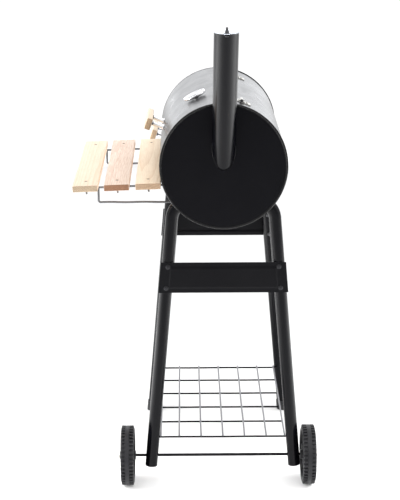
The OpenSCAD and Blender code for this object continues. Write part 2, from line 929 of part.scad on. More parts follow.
module slat_screw_places() {
    for (x = screw_xs, y = slat_ys) translate([x, y + slat_w / 2, shelf_top]) children();
}

module slat(i) {
    color("#ecd7b5") at_barrel() droop() difference() {
        translate([shelf_x - slat_l / 2, slat_ys[i], shelf_top - slat_t])
            cube([slat_l, slat_w, slat_t]);
        slat_screw_places() {
            cylinder(h = 100, r = screw_r, center = true);
            translate([0, 0, -2.5]) cylinder(h = 10, r = screw_head_r + 0.4);
        }
    }
}

module slat_inner() {
    slat(0);
}

module slat_middle() {
    slat(1);
}

module slat_outer() {
    slat(2);
}

module slat_screws() {
    color("#8a8378") at_barrel() droop() slat_screw_places() {
        translate([0, 0, screw_end - shelf_top]) cylinder(h = shelf_top - screw_end - 1, r = screw_r);
        translate([0, 0, -2.5]) cylinder(h = 1.6, r = screw_head_r);
        translate([0, 0, -slat_t - tab[2] - 3]) cylinder(h = 3, r = 4.6, $fn = 6);
    }
}

// ---- Wheels ----

module at_axle() {
    at_barrel() translate([leg_x, 0, axle_z]) children();
}

module axle() {
    color("#2e2e31") at_axle() y_cylinder(axle_r, axle_y0 + 2, axle_y1 - 2);
}

module axle_caps() {
    color("#bdbdc0") at_axle() for (m = [0, 1]) mirror([0, m, 0])
        translate([0, m == 0 ? axle_y1 : -axle_y0, 0]) rotate([90, 0, 0]) difference() {
            cylinder(h = axle_cap - gap, r = cap_r);
            translate([0, 0, 2]) cylinder(h = axle_cap, r = axle_r);
        }
}

// Plastic wheel with a dished web on both sides, six ribs and a hub
module wheel() {
    rim_t = 16;
    web_t = 6;
    color("#303033") rotate([-90, 0, 0]) {
        rotate_extrude() polygon([
            [bore_r, -hub_out], [hub_r, -hub_out], [hub_r, wheel_w / 2 - web_t / 2],
            [wheel_r - rim_t, wheel_w / 2 - web_t / 2], [wheel_r - rim_t, 0], [wheel_r - 3, 0],
            [wheel_r, 3], [wheel_r, wheel_w - 3], [wheel_r - 3, wheel_w],
            [wheel_r - rim_t, wheel_w], [wheel_r - rim_t, wheel_w / 2 + web_t / 2],
            [hub_r, wheel_w / 2 + web_t / 2], [hub_r, wheel_w + hub_out],
            [bore_r, wheel_w + hub_out]
        ]);
        for (a = [0:60:300]) rotate([0, 0, a]) translate([hub_r - 1, -2.5, 5])
            cube([wheel_r - rim_t - hub_r + 2, 5, wheel_w - 10]);
    }
}

module wheel_front() {
    at_axle() translate([0, wheel_front_y, 0]) wheel();
}

module wheel_rear() {
    at_axle() translate([0, wheel_rear_y, 0]) wheel();
}

barrel_body();
chimney_end_plate();
firebox_side_plate();
chimney_pipe();
damper_lug();
damper_bolt();
firebox_body();
firebox_inner_plate();
firebox_outer_plate();
smoke_collar();
firebox_bolts();
grate_rails();
cooking_grate_left();
cooking_grate_right();
charcoal_grate();
firebox_grate();
hinge_fixed_leaves();
hinge_pins();
leg_front_right();
leg_rear_right();
leg_front_left();
leg_rear_left();
leg_necks();
leg_plugs();
leg_bolts();
foot_front();
foot_rear();
brace_right();
brace_left();
brace_bolts();
wire_shelf();
shelf_rods();
tool_rails();
slat_inner();
slat_middle();
slat_outer();
slat_screws();
axle();
axle_caps();
air_damper_rivet();
lid_shell();
lid_grip();
lid_posts();
lid_screws();
lid_leaves();
thermometer_case();
thermometer_dial();
thermometer_glass();
thermometer_stem();
thermometer_nut();
thermometer_needle();
firebox_lid_shell();
firebox_grip();
firebox_posts();
firebox_screws();
firebox_leaves();
chimney_damper();
air_damper();
wheel_front();
wheel_rear();
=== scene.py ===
from math import cos, sin, tan, pi, radians, sqrt

import bmesh
import bpy
from mathutils import Matrix, Vector


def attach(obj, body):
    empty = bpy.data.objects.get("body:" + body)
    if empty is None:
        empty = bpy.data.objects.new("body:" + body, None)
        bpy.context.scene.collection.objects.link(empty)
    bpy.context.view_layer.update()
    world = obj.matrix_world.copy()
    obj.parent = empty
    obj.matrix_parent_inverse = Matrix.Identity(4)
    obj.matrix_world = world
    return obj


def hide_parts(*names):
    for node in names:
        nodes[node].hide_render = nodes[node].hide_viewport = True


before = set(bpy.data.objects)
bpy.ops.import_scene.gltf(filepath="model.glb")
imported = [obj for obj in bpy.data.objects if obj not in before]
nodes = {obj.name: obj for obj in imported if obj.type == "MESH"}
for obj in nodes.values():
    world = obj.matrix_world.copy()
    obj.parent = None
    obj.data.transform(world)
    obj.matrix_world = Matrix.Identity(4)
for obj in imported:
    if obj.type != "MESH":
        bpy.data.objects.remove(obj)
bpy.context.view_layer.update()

# ---- Sizes in mm, from the CAD ----
BARREL = Vector((47.68, 68.427, 940.0))
LID_R, BODY_R, PLATE_R, SHEET = 174.5, 172.7, 175.0, 1.5
END_X = 297.0
FB_LID_R, FB_BODY_R, FB_PLATE_R = 169.5, 167.7, 170.0
FB_X0, FB_X1, DROP = -618.5, -301.5, 126.0
FB_MID, FB_HALF = (FB_X0 + FB_X1) / 2, (FB_X1 - FB_X0) / 2
LID_GAP = 2.0
PASSAGE_R = 70.0
VENT_R, VENT_RING, KNOB_RING = 11.0, 31.0, 40.0
DAMPER_Z, DAMPER_GAP = -DROP - 80, 0.3
LID_A0, LID_A1, GRIP_A, DIAL_A = 4.0, 104.0, 19.5, 65.0
PIPE_R, PIPE_X, PIPE_Z, PIPE_TOP, LEAN = 32.0, 298.5, 54.0, 390.0, radians(30)
PIVOT_X = 534.44
LEG_X, LEG_R, BEND_Y, BEND_Z, BEND_R, SPLAY = 275.0, 17.5, 141.6, -149.0, 55.0, radians(5)
WHEEL_R = 85.0

MM = Matrix.Scale(0.001, 4)
AT_BARREL = MM @ Matrix.Translation(BARREL)
AT_FIREBOX = AT_BARREL @ Matrix.Translation((FB_MID, 0, -DROP))


def on_drum(a, r, x=0.0):
    return Matrix.Rotation(radians(90 - a), 4, "X") @ Matrix.Translation((x, 0, r))


def leg_y(z):
    return BEND_Y + (BEND_Z - z) * tan(SPLAY)


# ---- Camera, floor and light ----
def camera():
    yaw, pitch, roll = radians(-0.681), radians(16.348), radians(-0.1)
    turn = Matrix.Rotation(yaw, 3, "Z")
    fwd = Vector((0, cos(pitch), -sin(pitch)))
    up = Vector((0, sin(pitch), cos(pitch)))
    right = Vector((1, 0, 0))
    r2 = right * cos(roll) + up * sin(roll)
    u2 = up * cos(roll) - right * sin(roll)
    axes = [turn @ v for v in (r2, u2, -fwd)]
    axes = [Vector((-v.y, v.x, v.z)) for v in axes]
    m = Matrix([[axes[c][r] for c in range(3)] for r in range(3)]).to_4x4()
    m.translation = (4.1696, -0.0418, 1.8280)
    data = bpy.data.cameras.new("Camera")
    data.sensor_width = 36
    data.lens = 104.46
    data.clip_end = 200
    cam = bpy.data.objects.new("Camera", data)
    cam.matrix_world = m
    bpy.context.scene.collection.objects.link(cam)
    bpy.context.scene.camera = cam


def area(name, place, target, size, watts, tint=(1, 1, 1)):
    data = bpy.data.lights.new(name, "AREA")
    data.shape = "RECTANGLE"
    data.size, data.size_y = size
    data.energy = watts
    data.color = tint
    o = bpy.data.objects.new(name, data)
    o.location = place
    d = Vector(target) - Vector(place)
    o.rotation_euler = d.to_track_quat("-Z", "Y").to_euler()
    o.visible_camera = False
    bpy.context.scene.collection.objects.link(o)
    return o


camera()
bpy.context.scene.view_settings.view_transform = "Standard"
world = bpy.data.worlds.new("Studio")
bpy.context.scene.world = world
world.use_nodes = True
wt = world.node_tree
bg = wt.nodes["Background"]
bg.inputs[0].default_value = (1, 1, 1, 1)
sky = wt.nodes.new("ShaderNodeTexCoord")
split = wt.nodes.new("ShaderNodeSeparateXYZ")
rise = wt.nodes.new("ShaderNodeMapRange")
for key, value in (("From Min", 0.0), ("From Max", 1.0), ("To Min", 0.65), ("To Max", 1.42)):
    rise.inputs[key].default_value = value
wt.links.new(sky.outputs["Generated"], split.inputs[0])
wt.links.new(split.outputs[2], rise.inputs["Value"])
wt.links.new(rise.outputs[0], bg.inputs[1])
area("BackSoftbox", (-3.6, -0.3, 2.0), (0, 0, 0.9), (6.8, 2.8), 77, (0.945, 0.965, 1.0))
area("TopSoftbox", (0.2, -0.4, 3.6), (0, 0, 0.5), (3.2, 3.2), 14)
area("LeftSoftbox", (0.4, -3.2, 1.5), (0, 0, 0.7), (1.6, 2.2), 16)
area("RightSoftbox", (0.2, 3.2, 1.5), (0, 0, 0.7), (1.6, 2.2), 8)
area("LeftPool", (0.2, -2.0, 0.8), (0.2, -2.0, 0), (1.8, 2.2), 100)
area("RightPool", (0.2, 2.0, 0.8), (0.2, 2.0, 0), (1.8, 2.2), 75)


# ---- Node materials ----
class Nodes:
    """Small helper that adds and links shader nodes."""

    def __init__(self, name):
        self.mat = bpy.data.materials.new(name)
        self.mat.use_nodes = True
        self.t = self.mat.node_tree
        self.bsdf = self.t.nodes["Principled BSDF"]

    def add(self, kind, **props):
        n = self.t.nodes.new("ShaderNode" + kind)
        for k, v in props.items():
            setattr(n, k, v)
        return n

    def link(self, a, b):
        self.t.links.new(a, b)

    def const(self, **values):
        for k, v in values.items():
            self.bsdf.inputs[k.replace("_", " ")].default_value = v

    def coords(self, scale=(1, 1, 1), shift=(0, 0, 0)):
        tc = self.add("TexCoord")
        mp = self.add("Mapping")
        mp.inputs["Scale"].default_value = scale
        mp.inputs["Location"].default_value = shift
        self.link(tc.outputs["Object"], mp.inputs["Vector"])
        return mp.outputs[0]

    def noise(self, vec, scale, detail=3.0, rough=0.5, distort=0.0):
        n = self.add("TexNoise")
        n.inputs["Scale"].default_value = scale
        n.inputs["Detail"].default_value = detail
        n.inputs["Roughness"].default_value = rough
        n.inputs["Distortion"].default_value = distort
        self.link(vec, n.inputs["Vector"])
        return n.outputs["Fac"]

    def span(self, value, lo, hi, a=0.0, b=1.0):
        n = self.add("MapRange")
        for k, v in (("From Min", lo), ("From Max", hi), ("To Min", a), ("To Max", b)):
            n.inputs[k].default_value = v
        self.link(value, n.inputs["Value"])
        return n.outputs[0]

    def math(self, op, a, b=None):
        n = self.add("Math", operation=op)
        for i, v in enumerate((a, b)):
            if v is None:
                continue
            if isinstance(v, (int, float)):
                n.inputs[i].default_value = v
            else:
                self.link(v, n.inputs[i])
        return n.outputs[0]

    def mix(self, fac, a, b):
        n = self.add("Mix", data_type="RGBA")
        for key, v in ((0, fac), (6, a), (7, b)):
            if isinstance(v, (int, float)):
                n.inputs[key].default_value = v
            elif isinstance(v, tuple):
                n.inputs[key].default_value = v + (1,)
            else:
                self.link(v, n.inputs[key])
        return n.outputs[2]

    def bump(self, height, strength, distance, below=None):
        n = self.add("Bump")
        n.inputs["Strength"].default_value = strength
        n.inputs["Distance"].default_value = distance
        self.link(height, n.inputs["Height"])
        if below is not None:
            self.link(below, n.inputs["Normal"])
        return n.outputs[0]


def paint(name, base, rough, level, peel=0.12, dust=0.04):
    """Sprayed or baked enamel: orange peel, uneven gloss, faint dust and light worn specks."""
    n = Nodes(name)
    v = n.coords()
    broad = n.noise(v, 6.0, 4, 0.6)
    fine = n.noise(v, 420.0, 2, 0.5)
    speck = n.noise(v, 900.0, 2, 0.7)
    tone = n.span(broad, 0.3, 0.7, 0.0, dust)
    c = n.mix(tone, base, (0.32, 0.31, 0.30))
    specks = n.span(speck, 0.74, 0.8, 0.0, 0.15)
    c = n.mix(specks, c, tuple(min(1.0, b * 2.2 + 0.01) for b in base))
    n.link(c, n.bsdf.inputs["Base Color"])
    smudge = n.noise(v, 14.0, 5, 0.65, 0.6)
    n.link(n.span(smudge, 0.3, 0.75, rough * 0.85, rough * 1.25), n.bsdf.inputs["Roughness"])
    n.const(Specular_IOR_Level=level)
    b = n.bump(fine, peel, 0.0002)
    wave = n.noise(v, 28.0, 2, 0.4)
    n.link(n.bump(wave, peel * 0.5, 0.0004, b), n.bsdf.inputs["Normal"])
    return n.mat


def metal(name, base, rough, brush=(60, 60, 60), grain=0.15, spots=0.12):
    """Plated or bare metal: brushed grain, cloudy roughness and dull spots."""
    n = Nodes(name)
    v = n.coords(scale=brush)
    grain_n = n.noise(v, 14.0, 4, 0.6)
    w = n.coords()
    cloud = n.noise(w, 55.0, 4, 0.6, 0.4)
    c = n.mix(n.span(cloud, 0.35, 0.7, 0.0, spots), base, tuple(b * 0.45 for b in base))
    n.link(c, n.bsdf.inputs["Base Color"])
    r = n.math("ADD", n.span(cloud, 0.3, 0.7, rough * 0.8, rough * 1.3),
               n.span(grain_n, 0.3, 0.7, 0.0, rough * 0.4))
    n.link(r, n.bsdf.inputs["Roughness"])
    n.const(Metallic=1.0)
    n.link(n.bump(grain_n, grain, 0.0002), n.bsdf.inputs["Normal"])
    return n.mat


def plastic(name, base, rough, level=0.4, grain=0.25):
    """Moulded plastic: fine spark-eroded grain, scuffs and a dusty bloom."""
    n = Nodes(name)
    v = n.coords()
    g = n.noise(v, 1500.0, 2, 0.6)
    scuff = n.noise(n.coords(scale=(1, 1, 6)), 60.0, 5, 0.7, 1.2)
    bloom = n.noise(v, 18.0, 4, 0.6)
    c = n.mix(n.span(bloom, 0.35, 0.7, 0.0, 0.05), base, (0.20, 0.20, 0.21))
    c = n.mix(n.span(scuff, 0.66, 0.74, 0.0, 0.12), c, (0.16, 0.16, 0.16))
    n.link(c, n.bsdf.inputs["Base Color"])
    n.link(n.span(bloom, 0.3, 0.7, rough * 0.85, rough * 1.2), n.bsdf.inputs["Roughness"])
    n.const(Specular_IOR_Level=level)
    n.link(n.bump(g, grain, 0.00015), n.bsdf.inputs["Normal"])
    return n.mat


def wood(name, pale, late, end, pith, seed, ring=230.0, streak=0.35):
    """Sanded softwood sawn along X: growth rings round a pith line, fibres and end grain."""
    n = Nodes(name)
    v = n.coords(scale=(0.10, 1, 1), shift=(seed, seed * 0.37, seed * 0.11))
    warp = n.noise(v, 9.0, 3, 0.5)
    tc = n.add("TexCoord")
    sep = n.add("SeparateXYZ")
    n.link(tc.outputs["Object"], sep.inputs[0])
    wob = n.span(warp, 0.2, 0.8, -0.010, 0.010)
    dy = n.math("ADD", n.math("SUBTRACT", sep.outputs[1], pith[0]), wob)
    dz = n.math("ADD", n.math("SUBTRACT", sep.outputs[2], pith[1]), n.math("MULTIPLY", wob, 0.6))
    rad = n.math("SQRT", n.math("ADD", n.math("MULTIPLY", dy, dy), n.math("MULTIPLY", dz, dz)))
    saw = n.math("FRACT", n.math("MULTIPLY", rad, ring))
    late_band = n.math("POWER", saw, 2.6)
    fib = n.noise(n.coords(scale=(0.035, 1, 1), shift=(seed, 0, 0)), 520.0, 4, 0.6)
    pore = n.noise(n.coords(scale=(0.02, 1, 1), shift=(0, seed, 0)), 1300.0, 2, 0.5)
    patch = n.noise(n.coords(scale=(0.3, 1, 1), shift=(0, 0, seed)), 7.0, 3, 0.6)
    band = n.math("MULTIPLY", late_band, n.span(patch, 0.25, 0.75, 0.35, 1.0))
    c = n.mix(n.math("MULTIPLY", band, 0.75), pale, late)
    c = n.mix(n.span(fib, 0.42, 0.72, 0.0, streak), c, tuple(x * 0.82 for x in late))
    c = n.mix(n.span(pore, 0.66, 0.74, 0.0, 0.35), c, tuple(x * 0.55 for x in late))
    c = n.mix(n.span(patch, 0.5, 0.85, 0.0, 0.30), c, tuple(min(1, x * 1.06) for x in pale))
    # end grain on the sawn ends
    nsep = n.add("SeparateXYZ")
    n.link(tc.outputs["Normal"], nsep.inputs[0])
    is_end = n.span(n.math("ABSOLUTE", nsep.outputs[0]), 0.75, 0.92)
    pits = n.noise(n.coords(), 1100.0, 3, 0.7)
    rays = n.noise(n.coords(scale=(1, 1, 0.18)), 420.0, 3, 0.6)
    e = n.mix(n.math("MULTIPLY", late_band, 0.75), tuple(min(1, x * 1.25) for x in end),
              tuple(x * 0.35 for x in end))
    e = n.mix(n.span(pits, 0.5, 0.7, 0.0, 0.5), e, tuple(x * 0.5 for x in end))
    e = n.mix(n.span(rays, 0.45, 0.7, 0.0, 0.35), e, tuple(min(1, x * 1.5) for x in end))
    n.link(n.mix(is_end, c, e), n.bsdf.inputs["Base Color"])
    n.link(n.math("ADD", n.span(fib, 0.3, 0.7, 0.52, 0.66), n.math("MULTIPLY", is_end, 0.2)),
           n.bsdf.inputs["Roughness"])
    n.const(Specular_IOR_Level=0.3)
    h = n.math("ADD", n.math("MULTIPLY", fib, 0.6), n.math("MULTIPLY", late_band, 0.5))
    b = n.bump(h, 0.25, 0.0004)
    n.link(n.bump(n.math("MULTIPLY", pits, is_end), 0.5, 0.0005, b), n.bsdf.inputs["Normal"])
    return n.mat


def glass(name):
    n = Nodes(name)
    sm = n.noise(n.coords(), 90.0, 4, 0.6, 0.5)
    n.link(n.span(sm, 0.35, 0.8, 0.01, 0.09), n.bsdf.inputs["Roughness"])
    c = n.mix(n.span(sm, 0.3, 0.8, 0.0, 0.25), (0.97, 0.99, 1.0), (0.86, 0.9, 0.9))
    n.link(c, n.bsdf.inputs["Base Color"])
    n.const(Transmission_Weight=1.0, IOR=1.45)
    return n.mat


M = {
    "shell": paint("BodyEnamel", (0.011, 0.011, 0.013), 0.27, 0.62, peel=0.10),
    "lid": paint("LidEnamel", (0.012, 0.012, 0.014), 0.29, 0.5, peel=0.08),
    "plate": paint("PlateEnamel", (0.0020, 0.0020, 0.0034), 0.40, 0.075, peel=0.08, dust=0.004),
    "bead": paint("BeadEnamel", (0.003, 0.003, 0.0035), 0.26, 0.28, peel=0.08, dust=0.004),
    "pipe": paint("PipeEnamel", (0.0013, 0.0013, 0.0026), 0.20, 0.14, peel=0.08, dust=0.003),
    "leg": paint("LegPowder", (0.0018, 0.0018, 0.0030), 0.20, 0.14, peel=0.10, dust=0.003),
    "brace": paint("BracePowder", (0.0020, 0.0020, 0.0032), 0.32, 0.11, peel=0.12, dust=0.005),
    "soot": paint("SootedSteel", (0.018, 0.016, 0.015), 0.75, 0.2, peel=0.5, dust=0.10),
    "wire": paint("CrossWire", (0.003, 0.003, 0.004), 0.50, 0.015, peel=0.1, dust=0.002),
    # Long wires: the same black wire paint as the cross wires, painted mid grey as the painted sheen they
    # catch at a grazing angle.
    "longwire_painted_sheen": paint("LongWirePaintedSheen", (0.13, 0.13, 0.142), 0.40, 0.35, peel=0.1, dust=0.03),
    "rod": metal("RodWire", (0.17, 0.17, 0.175), 0.36, grain=0.1),
    "grate": metal("GrateChrome", (0.55, 0.55, 0.56), 0.25, grain=0.1),
    "zinc": metal("ZincPlate", (0.58, 0.57, 0.54), 0.34, brush=(30, 90, 90), grain=0.3, spots=0.3),
    "darkbolt": metal("BlackOxide", (0.10, 0.10, 0.105), 0.36, grain=0.2),
    "bolthead": metal("BlackBoltHead", (0.035, 0.035, 0.038), 0.30, grain=0.15),
    "chrome": metal("Chrome", (0.86, 0.86, 0.88), 0.10, grain=0.03, spots=0.05),
    "cap": metal("CapSteel", (0.64, 0.67, 0.74), 0.16, brush=(20, 120, 60), grain=0.05, spots=0.08),
    "axle": paint("AxleBlack", (0.005, 0.005, 0.006), 0.36, 0.12, peel=0.1, dust=0.005),
    "screw": metal("ScrewZinc", (0.24, 0.22, 0.20), 0.38, grain=0.2, spots=0.3),
    "tyre": plastic("WheelPlastic", (0.011, 0.011, 0.013), 0.48, 0.26, 0.35),
    "foot": plastic("FootPlastic", (0.012, 0.012, 0.013), 0.45, 0.3, 0.3),
    "dial": paint("DialWhite", (0.86, 0.86, 0.84), 0.40, 0.4, peel=0.05, dust=0.03),
    "ink": paint("DialInk", (0.02, 0.02, 0.02), 0.45, 0.3, peel=0.05, dust=0.01),
    "red": paint("DialRed", (0.55, 0.05, 0.03), 0.45, 0.3, peel=0.05, dust=0.01),
    "glass": glass("DialGlass"),
    "slat1": wood("SlatInner", (0.88, 0.715, 0.53), (0.70, 0.47, 0.29), (0.40, 0.275, 0.18),
                  (-0.155, 0.80), 3.1),
    "slat2": wood("SlatMiddle", (0.80, 0.66, 0.55), (0.64, 0.39, 0.27), (0.265, 0.138, 0.080),
                  (-0.250, 0.845), 7.7, ring=300.0, streak=0.75),
    "slat3": wood("SlatOuter", (0.86, 0.70, 0.55), (0.74, 0.54, 0.34), (0.425, 0.325, 0.228),
                  (-0.270, 0.79), 12.4, ring=260.0),
    "grip": wood("GripWood", (0.86, 0.73, 0.57), (0.68, 0.48, 0.31), (0.52, 0.37, 0.24),
                 (-0.20, 0.98), 21.3, ring=420.0),
}


# ---- Mesh helpers (mm) ----
DOME = (25, 50, 80)      # latitudes of the rings on a bar's domed end


def piece(name, bm, place, body, mat, replaces=(), angle=38):
    """Turns a bmesh in mm into an object that rides on a CAD body."""
    bm.transform(place)
    bmesh.ops.recalc_face_normals(bm, faces=bm.faces)
    me = bpy.data.meshes.new(name)
    bm.to_mesh(me)
    bm.free()
    o = bpy.data.objects.new(name, me)
    bpy.context.scene.collection.objects.link(o)
    for m in mat if isinstance(mat, (list, tuple)) else [mat]:
        me.materials.append(M[m])
    me.shade_smooth()
    me.set_sharp_from_angle(angle=radians(angle))
    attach(o, body)
    if replaces:
        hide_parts(*replaces)
    return o


def ring_faces(bm, a, b, mi=0):
    n = len(a)
    for i in range(n):
        j = (i + 1) % n
        if a[i] is a[j]:
            vs = [a[i], b[j], b[i]]
        elif b[i] is b[j]:
            vs = [a[i], a[j], b[i]]
        else:
            vs = [a[i], a[j], b[j], b[i]]
        bm.faces.new(vs).material_index = mi


def revolve(bm, profile, place=Matrix(), seg=128, closed=False, mi=0):
    """Revolves (r, z) points round Z."""
    rings = []
    for r, z in profile:
        if r < 1e-6:
            v = bm.verts.new(place @ Vector((0, 0, z)))
            rings.append([v] * seg)
        else:
            rings.append([bm.verts.new(place @ Vector((r * cos(2 * pi * i / seg),
                         r * sin(2 * pi * i / seg), z))) for i in range(seg)])
    pairs = list(zip(rings, rings[1:]))
    if closed:
        pairs.append((rings[-1], rings[0]))
    for a, b in pairs:
        ring_faces(bm, a, b, mi)


def sweep(bm, pts, r, seg=24, mi=0):
    """Round bar along points, with domed ends."""
    pts = [Vector(p) for p in pts]
    t0 = (pts[1] - pts[0]).normalized()
    up = Vector((0, 0, 1)) if abs(t0.z) < 0.9 else Vector((0, 1, 0))
    u = t0.cross(up).normalized()
    rings = []
    n = len(pts)
    for i, p in enumerate(pts):
        t = (pts[min(i + 1, n - 1)] - pts[max(i - 1, 0)]).normalized()
        u = (u - t * u.dot(t)).normalized()
        w = t.cross(u)

        def ring(c, rr):
            return [bm.verts.new(c + (u * cos(2 * pi * k / seg) + w * sin(2 * pi * k / seg)) * rr)
                    for k in range(seg)]

        if i == 0:
            rings.append([bm.verts.new(p - t * r)] * seg)
            for s in reversed(DOME):
                rings.append(ring(p - t * r * sin(radians(s)), r * cos(radians(s))))
        rings.append(ring(p, r))
        if i == n - 1:
            for s in DOME:
                rings.append(ring(p + t * r * sin(radians(s)), r * cos(radians(s))))
            rings.append([bm.verts.new(p + t * r)] * seg)
    for a, b in zip(rings, rings[1:]):
        ring_faces(bm, a, b, mi)


def fillet(pts, radius, steps=8):
    """Rounds the inner corners of a polyline."""
    pts = [Vector(p) for p in pts]
    out = [pts[0]]
    for a, b, c in zip(pts, pts[1:], pts[2:]):
        u, v = (a - b).normalized(), (c - b).normalized()
        half = u.angle(v) / 2
        d = radius / tan(half)
        mid = b + (u + v).normalized() * (radius / sin(half))
        p0, p1 = b + u * d, b + v * d
        for k in range(steps + 1):
            q = p0.lerp(p1, k / steps)
            out.append(mid + (q - mid).normalized() * radius)
    out.append(pts[-1])
    return out


def block(bm, lo, hi, bevel=1.0, segs=3, place=Matrix()):
    """Box with rounded edges."""
    b2 = bmesh.new()
    bmesh.ops.create_cube(b2, size=1)
    size = Vector(hi) - Vector(lo)
    mid = (Vector(hi) + Vector(lo)) / 2
    bmesh.ops.transform(b2, matrix=Matrix.Translation(mid) @ Matrix.Diagonal((*size, 1)),
                        verts=b2.verts)
    bmesh.ops.bevel(b2, geom=b2.edges[:], offset=bevel, segments=segs, profile=0.5,
                    affect="EDGES")
    b2.transform(place)
    me = bpy.data.meshes.new("tmp")
    b2.to_mesh(me)
    b2.free()
    bm.from_mesh(me)
    bpy.data.meshes.remove(me)


def cut(o, bm, place):
    """Takes the closed shape bm away from object o."""
    bm.transform(place)
    bmesh.ops.recalc_face_normals(bm, faces=bm.faces)
    me = bpy.data.meshes.new("cutter")
    bm.to_mesh(me)
    bm.free()
    c = bpy.data.objects.new("cutter", me)
    bpy.context.scene.collection.objects.link(c)
    md = o.modifiers.new("Cut", "BOOLEAN")
    md.object, md.operation, md.solver = c, "DIFFERENCE", "EXACT"
    deps = bpy.context.evaluated_depsgraph_get()
    new = bpy.data.meshes.new_from_object(o.evaluated_get(deps))
    o.modifiers.clear()
    o.data = new
    bpy.data.objects.remove(c)
    new.shade_smooth()
    new.set_sharp_from_angle(angle=radians(35))


def bore(o, r, half, place, seg):
    """Drills a round hole through o, half each way along the local Z of place."""
    c = bmesh.new()
    revolve(c, [(0, -half), (r, -half), (r, half), (0, half)], seg=seg)
    cut(o, c, place)


# ---- Barrel and firebox ----
AX = Matrix.Rotation(radians(90), 4, "Y")          # local z to +X
AXN = Matrix.Rotation(radians(-90), 4, "Y")        # local z to -X


def window(half):
    """Opening under a lid, in a shell that reaches half each way: x0, x1, then angles a0, a1."""
    return -half + 15, half - 15, LID_A0 + 3, LID_A1 - 3


def shell_sheet(bm, r, x0, x1, a0, a1, hole=None, na=120):
    """Curved sheet on a drum from angle a0 to a1, with an optional window in it."""
    xs = [x0, (x0 + x1) / 2, x1]
    angs = [a0 + (a1 - a0) * i / na for i in range(na + 1)]
    full = abs(a1 - a0 - 360) < 1e-6
    if hole:
        hx0, hx1, ha0, ha1 = hole
        xs = sorted(set(xs + [hx0, hx1]))
        angs = sorted(set(angs + [ha0, ha1]))
    if full:
        angs = angs[:-1]
    grid = []
    for a in angs:
        c, s = -cos(radians(a)), sin(radians(a))
        grid.append([[bm.verts.new((x, c * rr, s * rr)) for rr in (r, r - SHEET)] for x in xs])
    n = len(angs)
    cells = n if full else n - 1

    def solid(i, k):
        if not full and (i < 0 or i >= cells):
            return False
        if k < 0 or k >= len(xs) - 1:
            return False
        i %= n
        if not hole:
            return True
        b = angs[i + 1] if i + 1 < n else 360 + angs[0]
        am, xm = (angs[i] + b) / 2, (xs[k] + xs[k + 1]) / 2
        return not (ha0 < am < ha1 and hx0 < xm < hx1)

    for i in range(cells):
        j = (i + 1) % n
        for k in range(len(xs) - 1):
            if not solid(i, k):
                continue
            A, B, C, D = grid[i][k], grid[j][k], grid[j][k + 1], grid[i][k + 1]
            bm.faces.new((A[0], B[0], C[0], D[0]))
            bm.faces.new((D[1], C[1], B[1], A[1])).material_index = 1
            if not solid(i - 1, k):
                bm.faces.new((A[0], D[0], D[1], A[1]))
            if not solid(i + 1, k):
                bm.faces.new((C[0], B[0], B[1], C[1]))
            if not solid(i, k - 1):
                bm.faces.new((B[0], A[0], A[1], B[1]))
            if not solid(i, k + 1):
                bm.faces.new((D[0], C[0], C[1], D[1]))


bm = bmesh.new()
shell_sheet(bm, BODY_R, -END_X, END_X, 0, 360, window(END_X), 180)
piece("BarrelBody", bm, AT_BARREL, "frame", ["shell", "soot"], ["barrel_body"], 50)
bm = bmesh.new()
shell_sheet(bm, FB_BODY_R, -FB_HALF, FB_HALF, 0, 360, window(FB_HALF), 180)
piece("FireboxBody", bm, AT_FIREBOX, "frame", ["shell", "soot"], ["firebox_body"], 50)


def lid(name, r, half, place, body, node):
    """Lid sheet on its drum, its outer skin eased down 0.5 mm at both ends."""
    bm = bmesh.new()
    n = 110
    angs = [LID_A0 + (LID_A1 - LID_A0) * i / n for i in range(n + 1)]
    xs = [-half, -half + 0.5, -half + 5, -half + 8, 0, half - 8, half - 5, half - 0.5, half]
    outer, inner = [], []
    for a in angs:
        c, s = -cos(radians(a)), sin(radians(a))
        ro, ri = [], []
        for x in xs:
            out = r if abs(x) < half - 0.25 else r - 0.5
            ro.append(bm.verts.new((x, c * out, s * out)))
            ri.append(bm.verts.new((x, c * (r - SHEET), s * (r - SHEET))))
        outer.append(ro)
        inner.append(ri)
    for i in range(n):
        for k in range(len(xs) - 1):
            bm.faces.new((outer[i][k], outer[i + 1][k], outer[i + 1][k + 1], outer[i][k + 1]))
            f = bm.faces.new((inner[i][k + 1], inner[i + 1][k + 1], inner[i + 1][k], inner[i][k]))
            f.material_index = 1
        for k in (0, len(xs) - 1):
            bm.faces.new((outer[i][k], inner[i][k], inner[i + 1][k], outer[i + 1][k]))
    for i in (0, n):
        for k in range(len(xs) - 1):
            bm.faces.new((outer[i][k], outer[i][k + 1], inner[i][k + 1], inner[i][k]))
    return piece(name, bm, place, body, ["lid", "soot"], [node], 50)


lid("LidCover", LID_R, END_X - LID_GAP, AT_BARREL, "lid", "lid_shell")
lid("FireboxLidCover", FB_LID_R, FB_HALF - LID_GAP, AT_FIREBOX, "firebox_lid", "firebox_lid_shell")


def end_plate(name, r, place, node):
    """Pressed end plate: flat middle, small step, and the bead rolled over the shell."""
    prof = [(0, 1.5), (60, 1.5), (r - 12.2, 1.5), (r - 11.2, 1.35), (r - 10.2, 0.95),
            (r - 9.0, 0.8), (r - 7.4, 0.8), (r - 6.6, 1.0), (r - 6.0, 1.5)]
    for k in range(13):
        t = radians(180 - 15 * k)
        prof.append((r - 3 + 3 * cos(t), 3 * sin(t) if k else 1.0))
    prof[-1] = (r, 0.0)
    prof += [(r, 0), (0, 0)]
    bm = bmesh.new()
    revolve(bm, prof, seg=256)
    for f in bm.faces:
        c = f.calc_center_median()
        if (c.x ** 2 + c.y ** 2) ** 0.5 > r - 6.5:
            f.material_index = 1
    return piece(name, bm, place, "frame", ["plate", "bead"], [node], 30)


